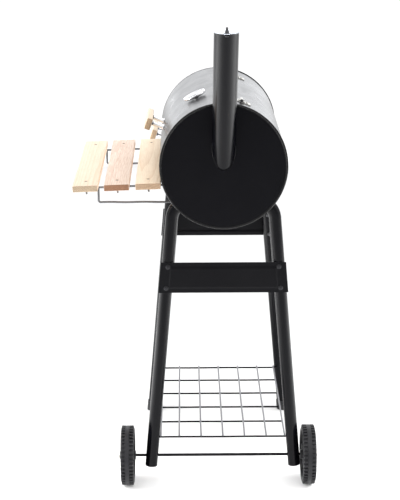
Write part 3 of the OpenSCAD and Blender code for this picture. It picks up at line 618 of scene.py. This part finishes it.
end_plate("ChimneyEndPlate", PLATE_R, AT_BARREL @ Matrix.Translation((END_X, 0, 0)) @ AX,
          "chimney_end_plate")
side_plate = end_plate("FireboxSidePlate", PLATE_R,
                       AT_BARREL @ Matrix.Translation((-END_X, 0, 0)) @ AXN, "firebox_side_plate")
outer_plate = end_plate("FireboxOuterPlate", FB_PLATE_R,
                        AT_BARREL @ Matrix.Translation((FB_X0, 0, -DROP)) @ AXN, "firebox_outer_plate")
bore(side_plate, PASSAGE_R, 30, AT_BARREL @ Matrix.Translation((-END_X, 0, -DROP / 2)) @ AX, 96)


def cut_vents(o):
    """Cuts the air damper's four vents through o."""
    for i in range(4):
        a = radians(90 * i)
        at = Matrix.Translation((FB_X0, -VENT_RING * sin(a), DAMPER_Z + VENT_RING * cos(a)))
        bore(o, VENT_R, 15, AT_BARREL @ at @ AX, 48)


cut_vents(outer_plate)

# ---- Chimney: leaning pipe, weld at its foot, cap, bolt and nut ----
SL, CL = sin(LEAN), cos(LEAN)


def pipe_point(r, k, seg, level=None):
    """Point k round the pipe, cut by the plane x = PIPE_X, or by z = level."""
    a = 2 * pi * k / seg
    u, v = r * cos(a), r * sin(a)
    base = Vector((PIPE_X + u * CL, v, PIPE_Z - u * SL))
    if level is None:
        t = (PIPE_X - base.x) / SL
    else:
        t = (level - base.z) / CL
    return base + Vector((SL, 0, CL)) * t


bm = bmesh.new()
SEG = 160
rings = []
for r, level in ((PIPE_R, None), (PIPE_R, 330.0), (PIPE_R, PIPE_TOP - 0.5), (PIPE_R - 0.4, PIPE_TOP),
                 (PIPE_R - SHEET, PIPE_TOP), (PIPE_R - SHEET, None)):
    rings.append([bm.verts.new(pipe_point(r, k, SEG, level)) for k in range(SEG)])
for i, (a, b) in enumerate(zip(rings, rings[1:])):
    ring_faces(bm, a, b, 1 if i == 4 else 0)
ring_faces(bm, rings[-1], rings[0])
piece("ChimneyPipe", bm, AT_BARREL, "frame", ["pipe", "soot"], ["chimney_pipe"], 40)

bm = bmesh.new()
loop = []
for k in range(SEG):
    p = pipe_point(PIPE_R, k, SEG)
    q = pipe_point(PIPE_R + 1, k, SEG)
    out = (Vector((0, q.y, q.z)) - Vector((0, p.y, p.z))).normalized()
    lump = 0.25 * sin(k * 1.9) + 0.15 * sin(k * 0.7)
    up = (Vector((SL, 0, CL)) - out * Vector((SL, 0, CL)).dot(out))
    w = 1.9 + lump
    loop.append([bm.verts.new(p + d) for d in
                 (Vector((0.0, 0, 0)) - out * 0.3, out * w + Vector((0.02, 0, 0)),
                  out * w * 0.7 + Vector((1.0, 0, 0)), out * w * 0.25 + Vector((1.9, 0, 0)),
                  Vector((2.4, 0, 0)) - out * 0.3)])
for k in range(SEG):
    a, b = loop[k], loop[(k + 1) % SEG]
    for m in range(5):
        bm.faces.new((a[m], b[m], b[(m + 1) % 5], a[(m + 1) % 5]))
piece("ChimneyWeld", bm, AT_BARREL, "frame", "pipe", (), 60)


def ear_outline(r_over):
    """Outline of the cap or lug: slanted pipe's oval and a round ear, as a list of x, y."""
    pts = []
    cx = PIPE_X + (PIPE_TOP - PIPE_Z) * tan(LEAN)
    for k in range(97):
        a = radians(24 + 312 * k / 96)
        pts.append((cx + (PIPE_R + r_over) / CL * cos(a), (PIPE_R + r_over) * sin(a)))
    for k in range(25):
        a = radians(-90 + 180 * k / 24)
        pts.append((PIVOT_X + 8 * cos(a), 8 * sin(a)))
    return pts


def prism(bm, pts, z0, z1, rim=0.5):
    """Extruded outline with softened upper and lower rims."""
    cx = sum(p[0] for p in pts) / len(pts)
    cy = sum(p[1] for p in pts) / len(pts)

    def ring(z, inset):
        out = []
        for x, y in pts:
            d = Vector((x - cx, y - cy))
            d = d * (1 - inset / max(d.length, 1e-6))
            out.append(bm.verts.new((cx + d.x, cy + d.y, z)))
        return out

    rings = [ring(z0, rim), ring(z0 + rim * 0.3, rim * 0.3), ring(z0 + rim, 0),
             ring(z1 - rim, 0), ring(z1 - rim * 0.3, rim * 0.3), ring(z1, rim)]
    for a, b in zip(rings, rings[1:]):
        ring_faces(bm, a, b)
    bm.faces.new(rings[0][::-1])
    bm.faces.new(rings[-1])


bm = bmesh.new()
prism(bm, ear_outline(2.0), PIPE_TOP + 0.3, PIPE_TOP + 2.8, 0.6)
piece("ChimneyCap", bm, AT_BARREL, "chimney_damper", "cap", ["chimney_damper"], 50)


def hexagon(bm, r, z0, z1, place=Matrix(), chamfer=0.8):
    """Hexagonal nut or head with chamfered corners."""
    prof = ((r - chamfer * 1.6, z0), (r, z0 + chamfer), (r, z1 - chamfer), (r - chamfer * 1.6, z1))
    rings = []
    for rr, z in prof:
        rings.append([bm.verts.new(place @ Vector((rr * cos(pi / 3 * k), rr * sin(pi / 3 * k), z)))
                      for k in range(6)])
    for a, b in zip(rings, rings[1:]):
        ring_faces(bm, a, b)
    bm.faces.new(rings[0][::-1])
    bm.faces.new(rings[-1])


def stud(bm, r, z0, z1, place=Matrix(), pitch=1.0, seg=24):
    """Threaded rod drawn as stacked grooves, with a chamfered end."""
    prof = [(0, z0), (r, z0)]
    z = z0
    while z < z1 - 1.5 * pitch:
        prof += [(r, z + 0.25 * pitch), (r * 0.88, z + 0.6 * pitch), (r, z + 0.95 * pitch)]
        z += pitch
    prof += [(r, z1 - 1), (r * 0.75, z1), (0, z1)]
    revolve(bm, prof, place, seg)


bm = bmesh.new()
at = Matrix.Translation((PIVOT_X, 0, PIPE_TOP))
stud(bm, 2.95, -3.0, 17.8, at, 1.25)
hexagon(bm, 5.5, -6.5, -3.0, at)
hexagon(bm, 5.8, 3.2, 10.1, at)
revolve(bm, [(2.9, 2.9), (7.4, 2.9), (7.6, 3.1), (7.4, 3.4), (2.9, 3.4)], at, 40, closed=True)
piece("DamperBolt", bm, AT_BARREL, "frame", "darkbolt", ["damper_bolt"])

# ---- Grips, posts and screws ----
GRIP_L, GRIP_H, GRIP_LOW, GRIP_TOP, POST_X = 150.0, 34.0, 37.05, 54.0, 43.5


def grip(name, r, place, body, grip_node, post_node, screw_node):
    at = on_drum(GRIP_A, r)
    bm = bmesh.new()
    block(bm, (-GRIP_L / 2, -GRIP_H / 2, GRIP_LOW), (GRIP_L / 2, GRIP_H / 2, GRIP_TOP), 2.6, 4, at)
    bar = piece(name + "Wood", bm, place, body, "grip", [grip_node], 40)
    bm = bmesh.new()
    for s in (-1, 1):
        p = at @ Matrix.Translation((s * POST_X, 0, 0))
        revolve(bm, [(3.1, 0.7), (7.7, 0.7), (7.8, 1.6), (7.6, 2.4), (6.3, 3.4), (5.9, 5.5),
                     (5.8, 18), (5.8, 31), (6.1, 33), (7.4, 34.4), (7.8, 35.2), (7.8, 36.4),
                     (7.4, 37.0), (3.1, 37.0)], p, 48, closed=True)
    piece(name + "Posts", bm, place, body, "chrome", [post_node], 40)
    bm = bmesh.new()
    for s in (-1, 1):
        p = at @ Matrix.Translation((s * POST_X, 0, -1.8))
        stud(bm, 2.9, 0, 50, p, 1.0, 16)
        revolve(bm, [(0, -3.4), (3.5, -3.3), (5.2, -2.4), (6, -0.6), (6, 0), (0, 0)], p, 32)
    piece(name + "Screws", bm, place, body, "zinc", [screw_node], 40)
    return bar


grip("LidGrip", LID_R, AT_BARREL, "lid", "lid_grip", "lid_posts", "lid_screws")
grip("FireboxGrip", FB_LID_R, AT_FIREBOX, "firebox_lid", "firebox_grip", "firebox_posts",
     "firebox_screws")

# ---- Thermometer ----
AT_DIAL = on_drum(DIAL_A, LID_R - 7.5, 130)
bm = bmesh.new()
revolve(bm, [(2.6, 12.05), (27, 12.05), (30.4, 12.5), (31.8, 13.6), (32.45, 15), (32.45, 18.3),
             (32.2, 19.3), (31.6, 19.9), (30.6, 20.0), (29.8, 19.7), (29.2, 19.1), (29.0, 18.6),
             (30.85, 18.4), (30.85, 13.7), (2.6, 13.7)], AT_DIAL, 128, closed=True)
piece("ThermometerCase", bm, AT_BARREL, "lid", "chrome", ["thermometer_case"], 40)

bm = bmesh.new()
revolve(bm, [(1.1, 13.65), (30.8, 13.65), (30.8, 14.6), (1.1, 14.6)], AT_DIAL, 96, closed=True)
TOPZ, NUMBER_R, NUMBER_SIZE = 14.62, 19.2, 4.6


def dial_angle(share):
    """Direction on the dial at a share of the pointer's full swing."""
    return radians(225 - 270 * share)


def dial_bar(r0, r1, a, w, mi):
    d = Vector((cos(a), sin(a), 0))
    s = Vector((-sin(a), cos(a), 0)) * w / 2
    q = [d * r0 - s, d * r1 - s, d * r1 + s, d * r0 + s]
    bm.faces.new([bm.verts.new(AT_DIAL @ (p + Vector((0, 0, TOPZ)))) for p in q]).material_index = mi


for k in range(41):
    a = dial_angle(k / 40)
    dial_bar(24.5 if k % 5 == 0 else 26.3, 28.4, a, 0.9 if k % 5 == 0 else 0.45, 1)
for k in range(56, 75):
    a0, a1 = dial_angle(k / 80), dial_angle((k + 1) / 80)
    q = [(22.5, a0), (24, a0), (24, a1), (22.5, a1)]
    bm.faces.new([bm.verts.new(AT_DIAL @ Vector((r * cos(t), r * sin(t), TOPZ)))
                  for r, t in q]).material_index = 2
piece("ThermometerDial", bm, AT_BARREL, "lid", ["dial", "ink", "red"],
      ["thermometer_dial"], 40)
for k in range(9):
    a = dial_angle(k / 8)
    cu = bpy.data.curves.new("num", "FONT")
    cu.body = str(k * 50)
    cu.size = NUMBER_SIZE
    cu.align_x = cu.align_y = "CENTER"
    cu.extrude = 0.02
    tmp = bpy.data.objects.new("num", cu)
    bpy.context.scene.collection.objects.link(tmp)
    me = bpy.data.meshes.new_from_object(tmp.evaluated_get(bpy.context.evaluated_depsgraph_get()))
    bpy.data.objects.remove(tmp)
    b2 = bmesh.new()
    b2.from_mesh(me)
    b2.transform(AT_DIAL @ Matrix.Translation((NUMBER_R * cos(a), NUMBER_R * sin(a), TOPZ + 0.03)))
    piece("DialNumber%d" % k, b2, AT_BARREL, "lid", "ink", (), 30)

bm = bmesh.new()
revolve(bm, [(0, 17.3), (30.8, 17.3), (30.8, 18.3), (29.0, 18.5), (0, 18.9)], AT_DIAL, 96)
piece("ThermometerGlass", bm, AT_BARREL, "lid", "glass", ["thermometer_glass"], 50)

bm = bmesh.new()
revolve(bm, [(0, -52.5), (1.6, -52.1), (2.5, -50.5), (2.6, -9), (2.6, 13.3), (0, 13.3)], AT_DIAL, 32)
hexagon(bm, 8, 7.7, 11.9, AT_DIAL, 0.7)
stud(bm, 4.8, -1.5, 8.1, AT_DIAL, 1.0, 32)
piece("ThermometerStem", bm, AT_BARREL, "lid", "chrome", ["thermometer_stem"])

# ---- Legs: one smooth bent tube each ----
BEND_STEPS, BEND_TURN = 26, radians(38)
FOOT_Z, AXLE_END_Z = 4.5 - BARREL.z, 57 - BARREL.z


def leg_path():
    """Centre line of a leg in its own side's y, from the barrel down to its end."""
    cy, cz = BEND_Y - BEND_R * cos(SPLAY), BEND_Z - BEND_R * sin(SPLAY)
    pts = []
    for k in range(BEND_STEPS + 1):
        a = SPLAY + BEND_TURN * (1 - k / BEND_STEPS)
        pts.append(Vector((0, cy + BEND_R * cos(a), cz + BEND_R * sin(a))))
    return pts


def leg_tube(name, sx, sy, end_z, replaces):
    bm = bmesh.new()
    seg = 64
    path = leg_path()
    for t in (0.25, 0.5, 0.75, 1.0):
        z = BEND_Z + (end_z - BEND_Z) * t
        path.append(Vector((0, leg_y(z), z)))
    n = len(path)
    rings = []
    for i, p in enumerate(path):
        a = SPLAY + BEND_TURN * max(0, 1 - i / BEND_STEPS)
        t = Vector((0, sin(a), -cos(a)))
        w = Vector((0, cos(a), sin(a)))
        ring = []
        for k in range(seg):
            b = 2 * pi * k / seg
            q = p + Vector((cos(b), 0, 0)) * LEG_R + w * sin(b) * LEG_R
            if i == 0:
                # slide each point along the tube until it lies on the barrel
                B = q.y * t.y + q.z * t.z
                C = q.y ** 2 + q.z ** 2 - (BODY_R + 0.05) ** 2
                disc = B * B - C
                q = q + t * (-B + sqrt(max(disc, 0)))
            ring.append(Vector((q.x, q.y * sy, q.z)))
        rings.append(ring)
    inner = []
    for i in (n - 1, n - 2):
        p = path[i]
        w = Vector((0, cos(SPLAY), sin(SPLAY)))
        inner.append([Vector((cos(2 * pi * k / seg) * (LEG_R - 1.5),
                              (p.y + w.y * sin(2 * pi * k / seg) * (LEG_R - 1.5)) * sy,
                              p.z + w.z * sin(2 * pi * k / seg) * (LEG_R - 1.5)))
                      for k in range(seg)])
    vs = [[bm.verts.new(q + Vector((sx * LEG_X, 0, 0))) for q in r] for r in rings + inner]
    for a, b in zip(vs, vs[1:]):
        ring_faces(bm, a, b)
    bm.faces.new(vs[-1])
    bm.faces.new(vs[0][::-1])
    return piece(name, bm, AT_BARREL, "frame", "leg", replaces, 40)


leg_tube("LegFrontRight", 1, -1, AXLE_END_Z, ["leg_front_right", "leg_necks"])
leg_tube("LegRearRight", 1, 1, AXLE_END_Z, ["leg_rear_right"])
leg_tube("LegFrontLeft", -1, -1, FOOT_Z, ["leg_front_left"])
leg_tube("LegRearLeft", -1, 1, FOOT_Z, ["leg_rear_left"])

# ---- Brace panels with a soft pressed field ----
BRACE_Z1, BRACE_Z0, BOLT_IN = -271.0, -358.5, 13.0


def brace(name, place, node):
    z1, z0, t = BRACE_Z1, BRACE_Z0, SHEET
    nx, nz = 150, 40

    def half(z):
        return leg_y(z) + LEG_R + 3.0

    def lift(u, z):
        h = half(z)
        y = u * h
        d = min(h - 26 - abs(y), z1 - 12 - z, z - z0 - 12)
        s = min(1.0, max(0.0, d / 4.5))
        return 2.35 * s * s * (3 - 2 * s)

    bm = bmesh.new()
    us = [-1 + 2 * i / nx for i in range(nx + 1)]
    zs = [z0 + (z1 - z0) * j / nz for j in range(nz + 1)]
    top = [[bm.verts.new((t + lift(u, z), u * half(z), z)) for u in us] for z in zs]
    bot = [[bm.verts.new((max(0, lift(u, z) * 0.98 - 0.02), u * half(z), z)) for u in us] for z in zs]
    for j in range(nz):
        for i in range(nx):
            bm.faces.new((top[j][i], top[j][i + 1], top[j + 1][i + 1], top[j + 1][i]))
            bm.faces.new((bot[j + 1][i], bot[j + 1][i + 1], bot[j][i + 1], bot[j][i]))
    for j in range(nz):
        for i in (0, nx):
            bm.faces.new((top[j][i], top[j + 1][i], bot[j + 1][i], bot[j][i]))
    for i in range(nx):
        for j in (0, nz):
            bm.faces.new((top[j][i], top[j][i + 1], bot[j][i + 1], bot[j][i]))
    return piece(name, bm, place, "frame", "brace", [node], 50)


brace("BraceRight", AT_BARREL @ Matrix.Translation((LEG_X + LEG_R, 0, 0)), "brace_right")
brace("BraceLeft", AT_BARREL @ Matrix.Scale(-1, 4, (1, 0, 0)) @ Matrix.Translation((LEG_X + LEG_R, 0, 0)),
      "brace_left")
bm = bmesh.new()
for sx in (1, -1):
    for sy in (1, -1):
        for z in (BRACE_Z1 - BOLT_IN, BRACE_Z0 + BOLT_IN):
            p = Matrix.Translation((sx * LEG_X, sy * leg_y(z), z)) @ (AX if sx > 0 else AXN)
            k = LEG_R + 1.5
            revolve(bm, [(3.2, k), (6.6, k), (6.9, k + 0.25), (6.9, k + 0.7), (6.6, k + 0.9),
                         (3.2, k + 0.9)], p, 40, closed=True, mi=1)
            revolve(bm, [(0, k + 0.9), (5.2, k + 0.9), (5.3, k + 1.7), (4.7, k + 2.6),
                         (3.3, k + 3.15), (1.9, k + 3.2), (1.7, k + 2.1), (0, k + 2.0)], p, 32, mi=1)
            stud(bm, 2.9, -LEG_R - 8, k + 0.5, p, 1.0, 16)
            hexagon(bm, 5.8, -LEG_R - 5, -LEG_R - 0.2, p)
piece("BraceBolts", bm, AT_BARREL, "frame", ["darkbolt", "bolthead"], ["brace_bolts"], 40)

# ---- Bottom wire shelf ----
bm = bmesh.new()
Z = 141.0 - BARREL.z
CROSS_HALF, LONG_HALF = 178.4, 277
long_y = [-177.5, -124.8, -62.4, 0, 62.4, 124.8, 177.5]
cross_x = [-275 + 110 * i for i in range(6)]
for i, x in enumerate(cross_x):
    h = leg_y(Z) - 6 if i in (0, 5) else CROSS_HALF
    pts = [(x + 0.25 * sin(i * 2.1 + k), -h + 2 * h * k / 8, Z + 0.15 * sin(i + k * 1.7))
           for k in range(9)]
    sweep(bm, pts, 2.45, 20)
# The long wires take slot 1, the grey copy of the wire paint that carries their painted sheen.
for i, y in enumerate(long_y):
    pts = [(-LONG_HALF + 2 * LONG_HALF * k / 10, y + 0.25 * sin(i * 1.3 + k * 1.1),
            Z + 4.4 + 0.08 * sin(i * 0.9 + k))
           for k in range(11)]
    sweep(bm, pts, 2.4, 20, mi=1)
for x in cross_x:
    for y in long_y:
        p = Matrix.Translation((x, y, Z + 2.2))
        revolve(bm, [(0, -0.9), (1.5, -0.8), (2.5, -0.2), (2.6, 0.2), (1.6, 0.9), (0, 1.0)], p, 12)
piece("WireShelf", bm, AT_BARREL, "frame", ["wire", "longwire_painted_sheen"], ["wire_shelf"], 60)

# ---- Front shelf: slats, screws, rods and tool rails ----
SLAT_X, SLAT_L, SLAT_W, SLAT_T, TOP = 6.5, 583.0, 68.0, 17.5, -44.0
DROOP = (Matrix.Translation((0, -172, TOP)) @ Matrix.Rotation(radians(2), 4, "X")
         @ Matrix.Translation((0, 172, -TOP)))
AT_SHELF = AT_BARREL @ DROOP
SLAT_YS = [-240.0, -325.5, -411.0]
SCREW_XS = [245.0, -232.0]
for i, y in enumerate(SLAT_YS):
    bm = bmesh.new()
    block(bm, (SLAT_X - SLAT_L / 2, y, TOP - SLAT_T), (SLAT_X + SLAT_L / 2, y + SLAT_W, TOP), 1.3, 3)
    o = piece("Slat%d" % (i + 1), bm, AT_SHELF, "frame", "slat%d" % (i + 1),
              [("slat_inner", "slat_middle", "slat_outer")[i]],
              35)
    for x in SCREW_XS:
        c = bmesh.new()
        revolve(c, [(0, -2.2), (2.4, -2.2), (5.6, -0.9), (6.0, 2.0), (0, 2.0)],
                Matrix.Translation((x, y + SLAT_W / 2, TOP)), 40)
        cut(o, c, AT_SHELF)
bm = bmesh.new()
for x in SCREW_XS:
    for y in SLAT_YS:
        p = Matrix.Translation((x, y + SLAT_W / 2, TOP))
        revolve(bm, [(0, -2.5), (4.9, -2.5), (5.0, -1.9), (4.6, -1.2), (3.2, -0.75), (1.8, -0.7),
                     (1.5, -1.7), (0, -1.8)], p, 36)
        stud(bm, 2.45, -35.9, -2.6, p, 0.9, 16)
        hexagon(bm, 4.55, -22.4, -19.6, p, 0.5)
piece("SlatScrews", bm, AT_SHELF, "frame", "screw", ["slat_screws"], 40)

RODX = [x - 8 for x in SCREW_XS]
ROD_Z, RAIL_Z, RAIL_Y = -64.5, -112.5, -343.5


def reach_barrel(p, way):
    """The point where a line through p along way meets the barrel's skin."""
    b, c = p.y * way.y + p.z * way.z, p.y ** 2 + p.z ** 2 - BODY_R ** 2
    return p + way * (-b - sqrt(b * b - c))


INWARDS = Vector((0, cos(radians(2)), sin(radians(2))))
UNDROOP = DROOP.inverted()
bm = bmesh.new()
for x in RODX:
    end = UNDROOP @ (reach_barrel(DROOP @ Vector((x, -300, ROD_Z)), INWARDS) + INWARDS * 0.4)
    sweep(bm, [(x, -390.0, ROD_Z), (x, -300, ROD_Z), (x, -200, ROD_Z), end], 2.95, 24)
    for y in SLAT_YS:
        block(bm, (x, y + 27, -63.45), (x + 16, y + 41, -61.55), 0.6, 2)
piece("ShelfRods", bm, AT_SHELF, "frame", "rod", ["shelf_rods"], 50)
bm = bmesh.new()
for i, x in enumerate(RODX):
    top = DROOP @ Vector((x, RAIL_Y + 0.8, ROD_Z - 2.8))
    end = (x, 0.6 - sqrt(BODY_R ** 2 - RAIL_Z ** 2), RAIL_Z)
    pts = fillet([(x, RAIL_Y, top.z), (x, RAIL_Y, RAIL_Z), end], 5, 10)
    last = pts.pop()
    start = pts[-1]
    for k in range(1, 13):
        q = start.lerp(last, k / 12)
        w = 0 if k == 12 else 0.55 * sin(k * 1.15 + i)
        pts.append(q + Vector((0.3 * w, 0, w)))
    sweep(bm, pts, 2.95, 24)
piece("ToolRails", bm, AT_BARREL, "frame", "rod", ["tool_rails"], 60)

# ---- Wheels: dished, ribbed, with a smooth centre rib and two rows of lugs ----
AY = Matrix.Rotation(radians(-90), 4, "X")          # local z to +Y
FRONT_WHEEL_Y, REAR_WHEEL_Y = -292, 227
FRONT_CAP_Y, REAR_CAP_Y = -301, 274


def wheel(name, y0, body, node):
    bm = bmesh.new()

    def rim(at, z):
        return bm.verts.new((at[0] * cos(at[1]), at[0] * sin(at[1]), z))

    prof = [(4.06, -3.9), (11.5, -3.9), (13.2, -3.2), (14, -1.8), (14.4, 12.5), (17, 15.4),
            (21, 16), (62, 16), (66, 15.2), (68.2, 12.5), (69, 2.2), (69.6, 0.7), (71, 0.1),
            (76.5, 0.1), (78.6, 0.8), (79.8, 2.4), (80.2, 4.5), (80.4, 12.0), (81.2, 12.8),
            (84.2, 13.1), (84.9, 13.8), (84.95, 19), (84.9, 24.2), (84.2, 24.9), (81.2, 25.2),
            (80.4, 26.0), (80.2, 33.5), (79.8, 35.6), (78.6, 37.2), (76.5, 37.9), (71, 37.9),
            (69.6, 37.3), (69, 35.8), (68.2, 25.5), (66, 22.8), (62, 22), (21, 22), (17, 22.6),
            (14.4, 25.5), (14, 39.8), (13.2, 41.2), (11.5, 41.9), (4.06, 41.9)]
    revolve(bm, prof, seg=192, closed=True)
    for k in range(6):
        rot = Matrix.Rotation(radians(60 * k), 4, "Z")
        for lo, hi in ((4.5, 17), (21, 33.5)):
            block(bm, (13, -2.6, lo), (70.5, 2.6, hi), 1.1, 2, rot)
    n = 44
    for row in (0, 1):
        za, zb = ((1.3, 13.0), (25.0, 36.7))[row]
        for k in range(n):
            mid = 2 * pi * (k + 0.5 * row) / n
            wide, top = pi / n, pi / n * 0.78
            lo, hi = [], []
            edge = 1.4
            for rr, w, e, store in ((79.6, wide, 0.0, lo), (84.9, top, edge, hi)):
                z0e = za + (e if row == 0 else 0)
                z1e = zb - (e if row == 1 else 0)
                for t in (-1, -0.33, 0.33, 1):
                    store.append(((rr, mid + w / 2 * t), z0e, z1e))
            L0, L1 = [rim(a, z) for a, z, _ in lo], [rim(a, z) for a, _, z in lo]
            H0, H1 = [rim(a, z) for a, z, _ in hi], [rim(a, z) for a, _, z in hi]
            for j in range(3):
                bm.faces.new((H0[j], H0[j + 1], H1[j + 1], H1[j]))
                bm.faces.new((L0[j], L0[j + 1], H0[j + 1], H0[j]))
                bm.faces.new((H1[j], H1[j + 1], L1[j + 1], L1[j]))
                bm.faces.new((L1[j], L1[j + 1], L0[j + 1], L0[j]))
            bm.faces.new((L0[0], H0[0], H1[0], L1[0]))
            bm.faces.new((L0[3], L1[3], H1[3], H0[3]))
    at = AT_BARREL @ Matrix.Translation((LEG_X, y0, WHEEL_R - BARREL.z)) @ AY
    return piece(name, bm, at, body, "tyre", [node], 32)


wheel("WheelFront", FRONT_WHEEL_Y, "wheel_front", "wheel_front")
wheel("WheelRear", REAR_WHEEL_Y, "wheel_rear", "wheel_rear")
bm = bmesh.new()
for y, s in ((FRONT_CAP_Y, 1), (REAR_CAP_Y, -1)):
    way = AY if s > 0 else AY @ Matrix.Rotation(pi, 4, "X")
    p = Matrix.Translation((LEG_X, y, WHEEL_R - BARREL.z)) @ way
    revolve(bm, [(0, 0.05), (3, 0.2), (6, 0.8), (7.8, 1.9), (8.5, 3.1), (9, 3.9), (9, 4.6),
                 (8.6, 4.65), (4.1, 4.65), (4.1, 2.3), (0, 2.3)], p, 40)
piece("AxleCaps", bm, AT_BARREL, "frame", "zinc", ["axle_caps"], 40)

# ---- Air damper ----
bm = bmesh.new()
p = Matrix.Translation((FB_X0 - SHEET - DAMPER_GAP, 0, DAMPER_Z)) @ AXN
revolve(bm, [(3.06, 0), (47.4, 0), (48, 0.4), (48, 1.1), (47.4, 1.5), (3.06, 1.5)], p, 128, closed=True)
damper = piece("AirDamper", bm, AT_BARREL, "air_damper", "zinc", ["air_damper"], 35)
cut_vents(damper)
bm = bmesh.new()
k = KNOB_RING / sqrt(2)
p = Matrix.Translation((FB_X0 - 2 * SHEET - DAMPER_GAP, -k, DAMPER_Z + k)) @ AXN
revolve(bm, [(0, 0), (2.6, 0), (2.6, 4), (3.4, 5), (5.2, 7), (6, 9.5), (5.9, 13), (4.6, 15.3),
             (2.2, 15.9), (0, 16)], p, 40)
piece("AirDamperKnob", bm, AT_BARREL, "air_damper", "chrome", (), 50)

# ---- Materials of the CAD nodes that stay ----
for name, mat in {
        "damper_lug": "pipe", "firebox_inner_plate": "plate", "smoke_collar": "plate",
        "firebox_bolts": "zinc", "grate_rails": "soot", "cooking_grate_left": "grate",
        "cooking_grate_right": "grate", "charcoal_grate": "grate", "firebox_grate": "grate",
        "hinge_fixed_leaves": "zinc", "hinge_pins": "darkbolt", "lid_leaves": "zinc",
        "firebox_leaves": "zinc", "leg_plugs": "foot", "leg_bolts": "zinc",
        "foot_front": "foot", "foot_rear": "foot", "axle": "axle", "air_damper_rivet": "zinc",
        "thermometer_nut": "zinc", "thermometer_needle": "ink"}.items():
    me = nodes[name].data
    me.materials.clear()
    me.materials.append(M[mat])

# ---- Floor ----
floor_mat = Nodes("FloorPaper")
fv = floor_mat.noise(floor_mat.coords(), 3.0, 3, 0.5)
spot = floor_mat.add("SeparateXYZ")
floor_mat.link(floor_mat.add("TexCoord").outputs["Object"], spot.inputs[0])
# The paper is duller in an oval under and behind the smoker, where the lights would over-expose it.
fx = floor_mat.math("DIVIDE", floor_mat.math("ADD", spot.outputs[0], 1.9), 2.1)
fy = floor_mat.math("DIVIDE", spot.outputs[1], 1.25)
far = floor_mat.math("SQRT", floor_mat.math("ADD", floor_mat.math("MULTIPLY", fx, fx),
                                            floor_mat.math("MULTIPLY", fy, fy)))
pale = floor_mat.mix(fv, (0.93, 0.93, 0.93), (0.95, 0.95, 0.95))
dull = floor_mat.mix(fv, (0.60, 0.60, 0.60), (0.62, 0.62, 0.62))
floor_mat.link(floor_mat.mix(floor_mat.span(far, 0.94, 1.02), dull, pale),
               floor_mat.bsdf.inputs["Base Color"])
floor_mat.const(Roughness=0.9, Specular_IOR_Level=0.1)
me = bpy.data.meshes.new("Floor")
me.from_pydata([(-30, -30, 0), (30, -30, 0), (30, 30, 0), (-30, 30, 0)], [], [(0, 1, 2, 3)])
me.materials.append(floor_mat.mat)
floor = bpy.data.objects.new("Floor", me)
floor.location.z = -0.0005
bpy.context.scene.collection.objects.link(floor)
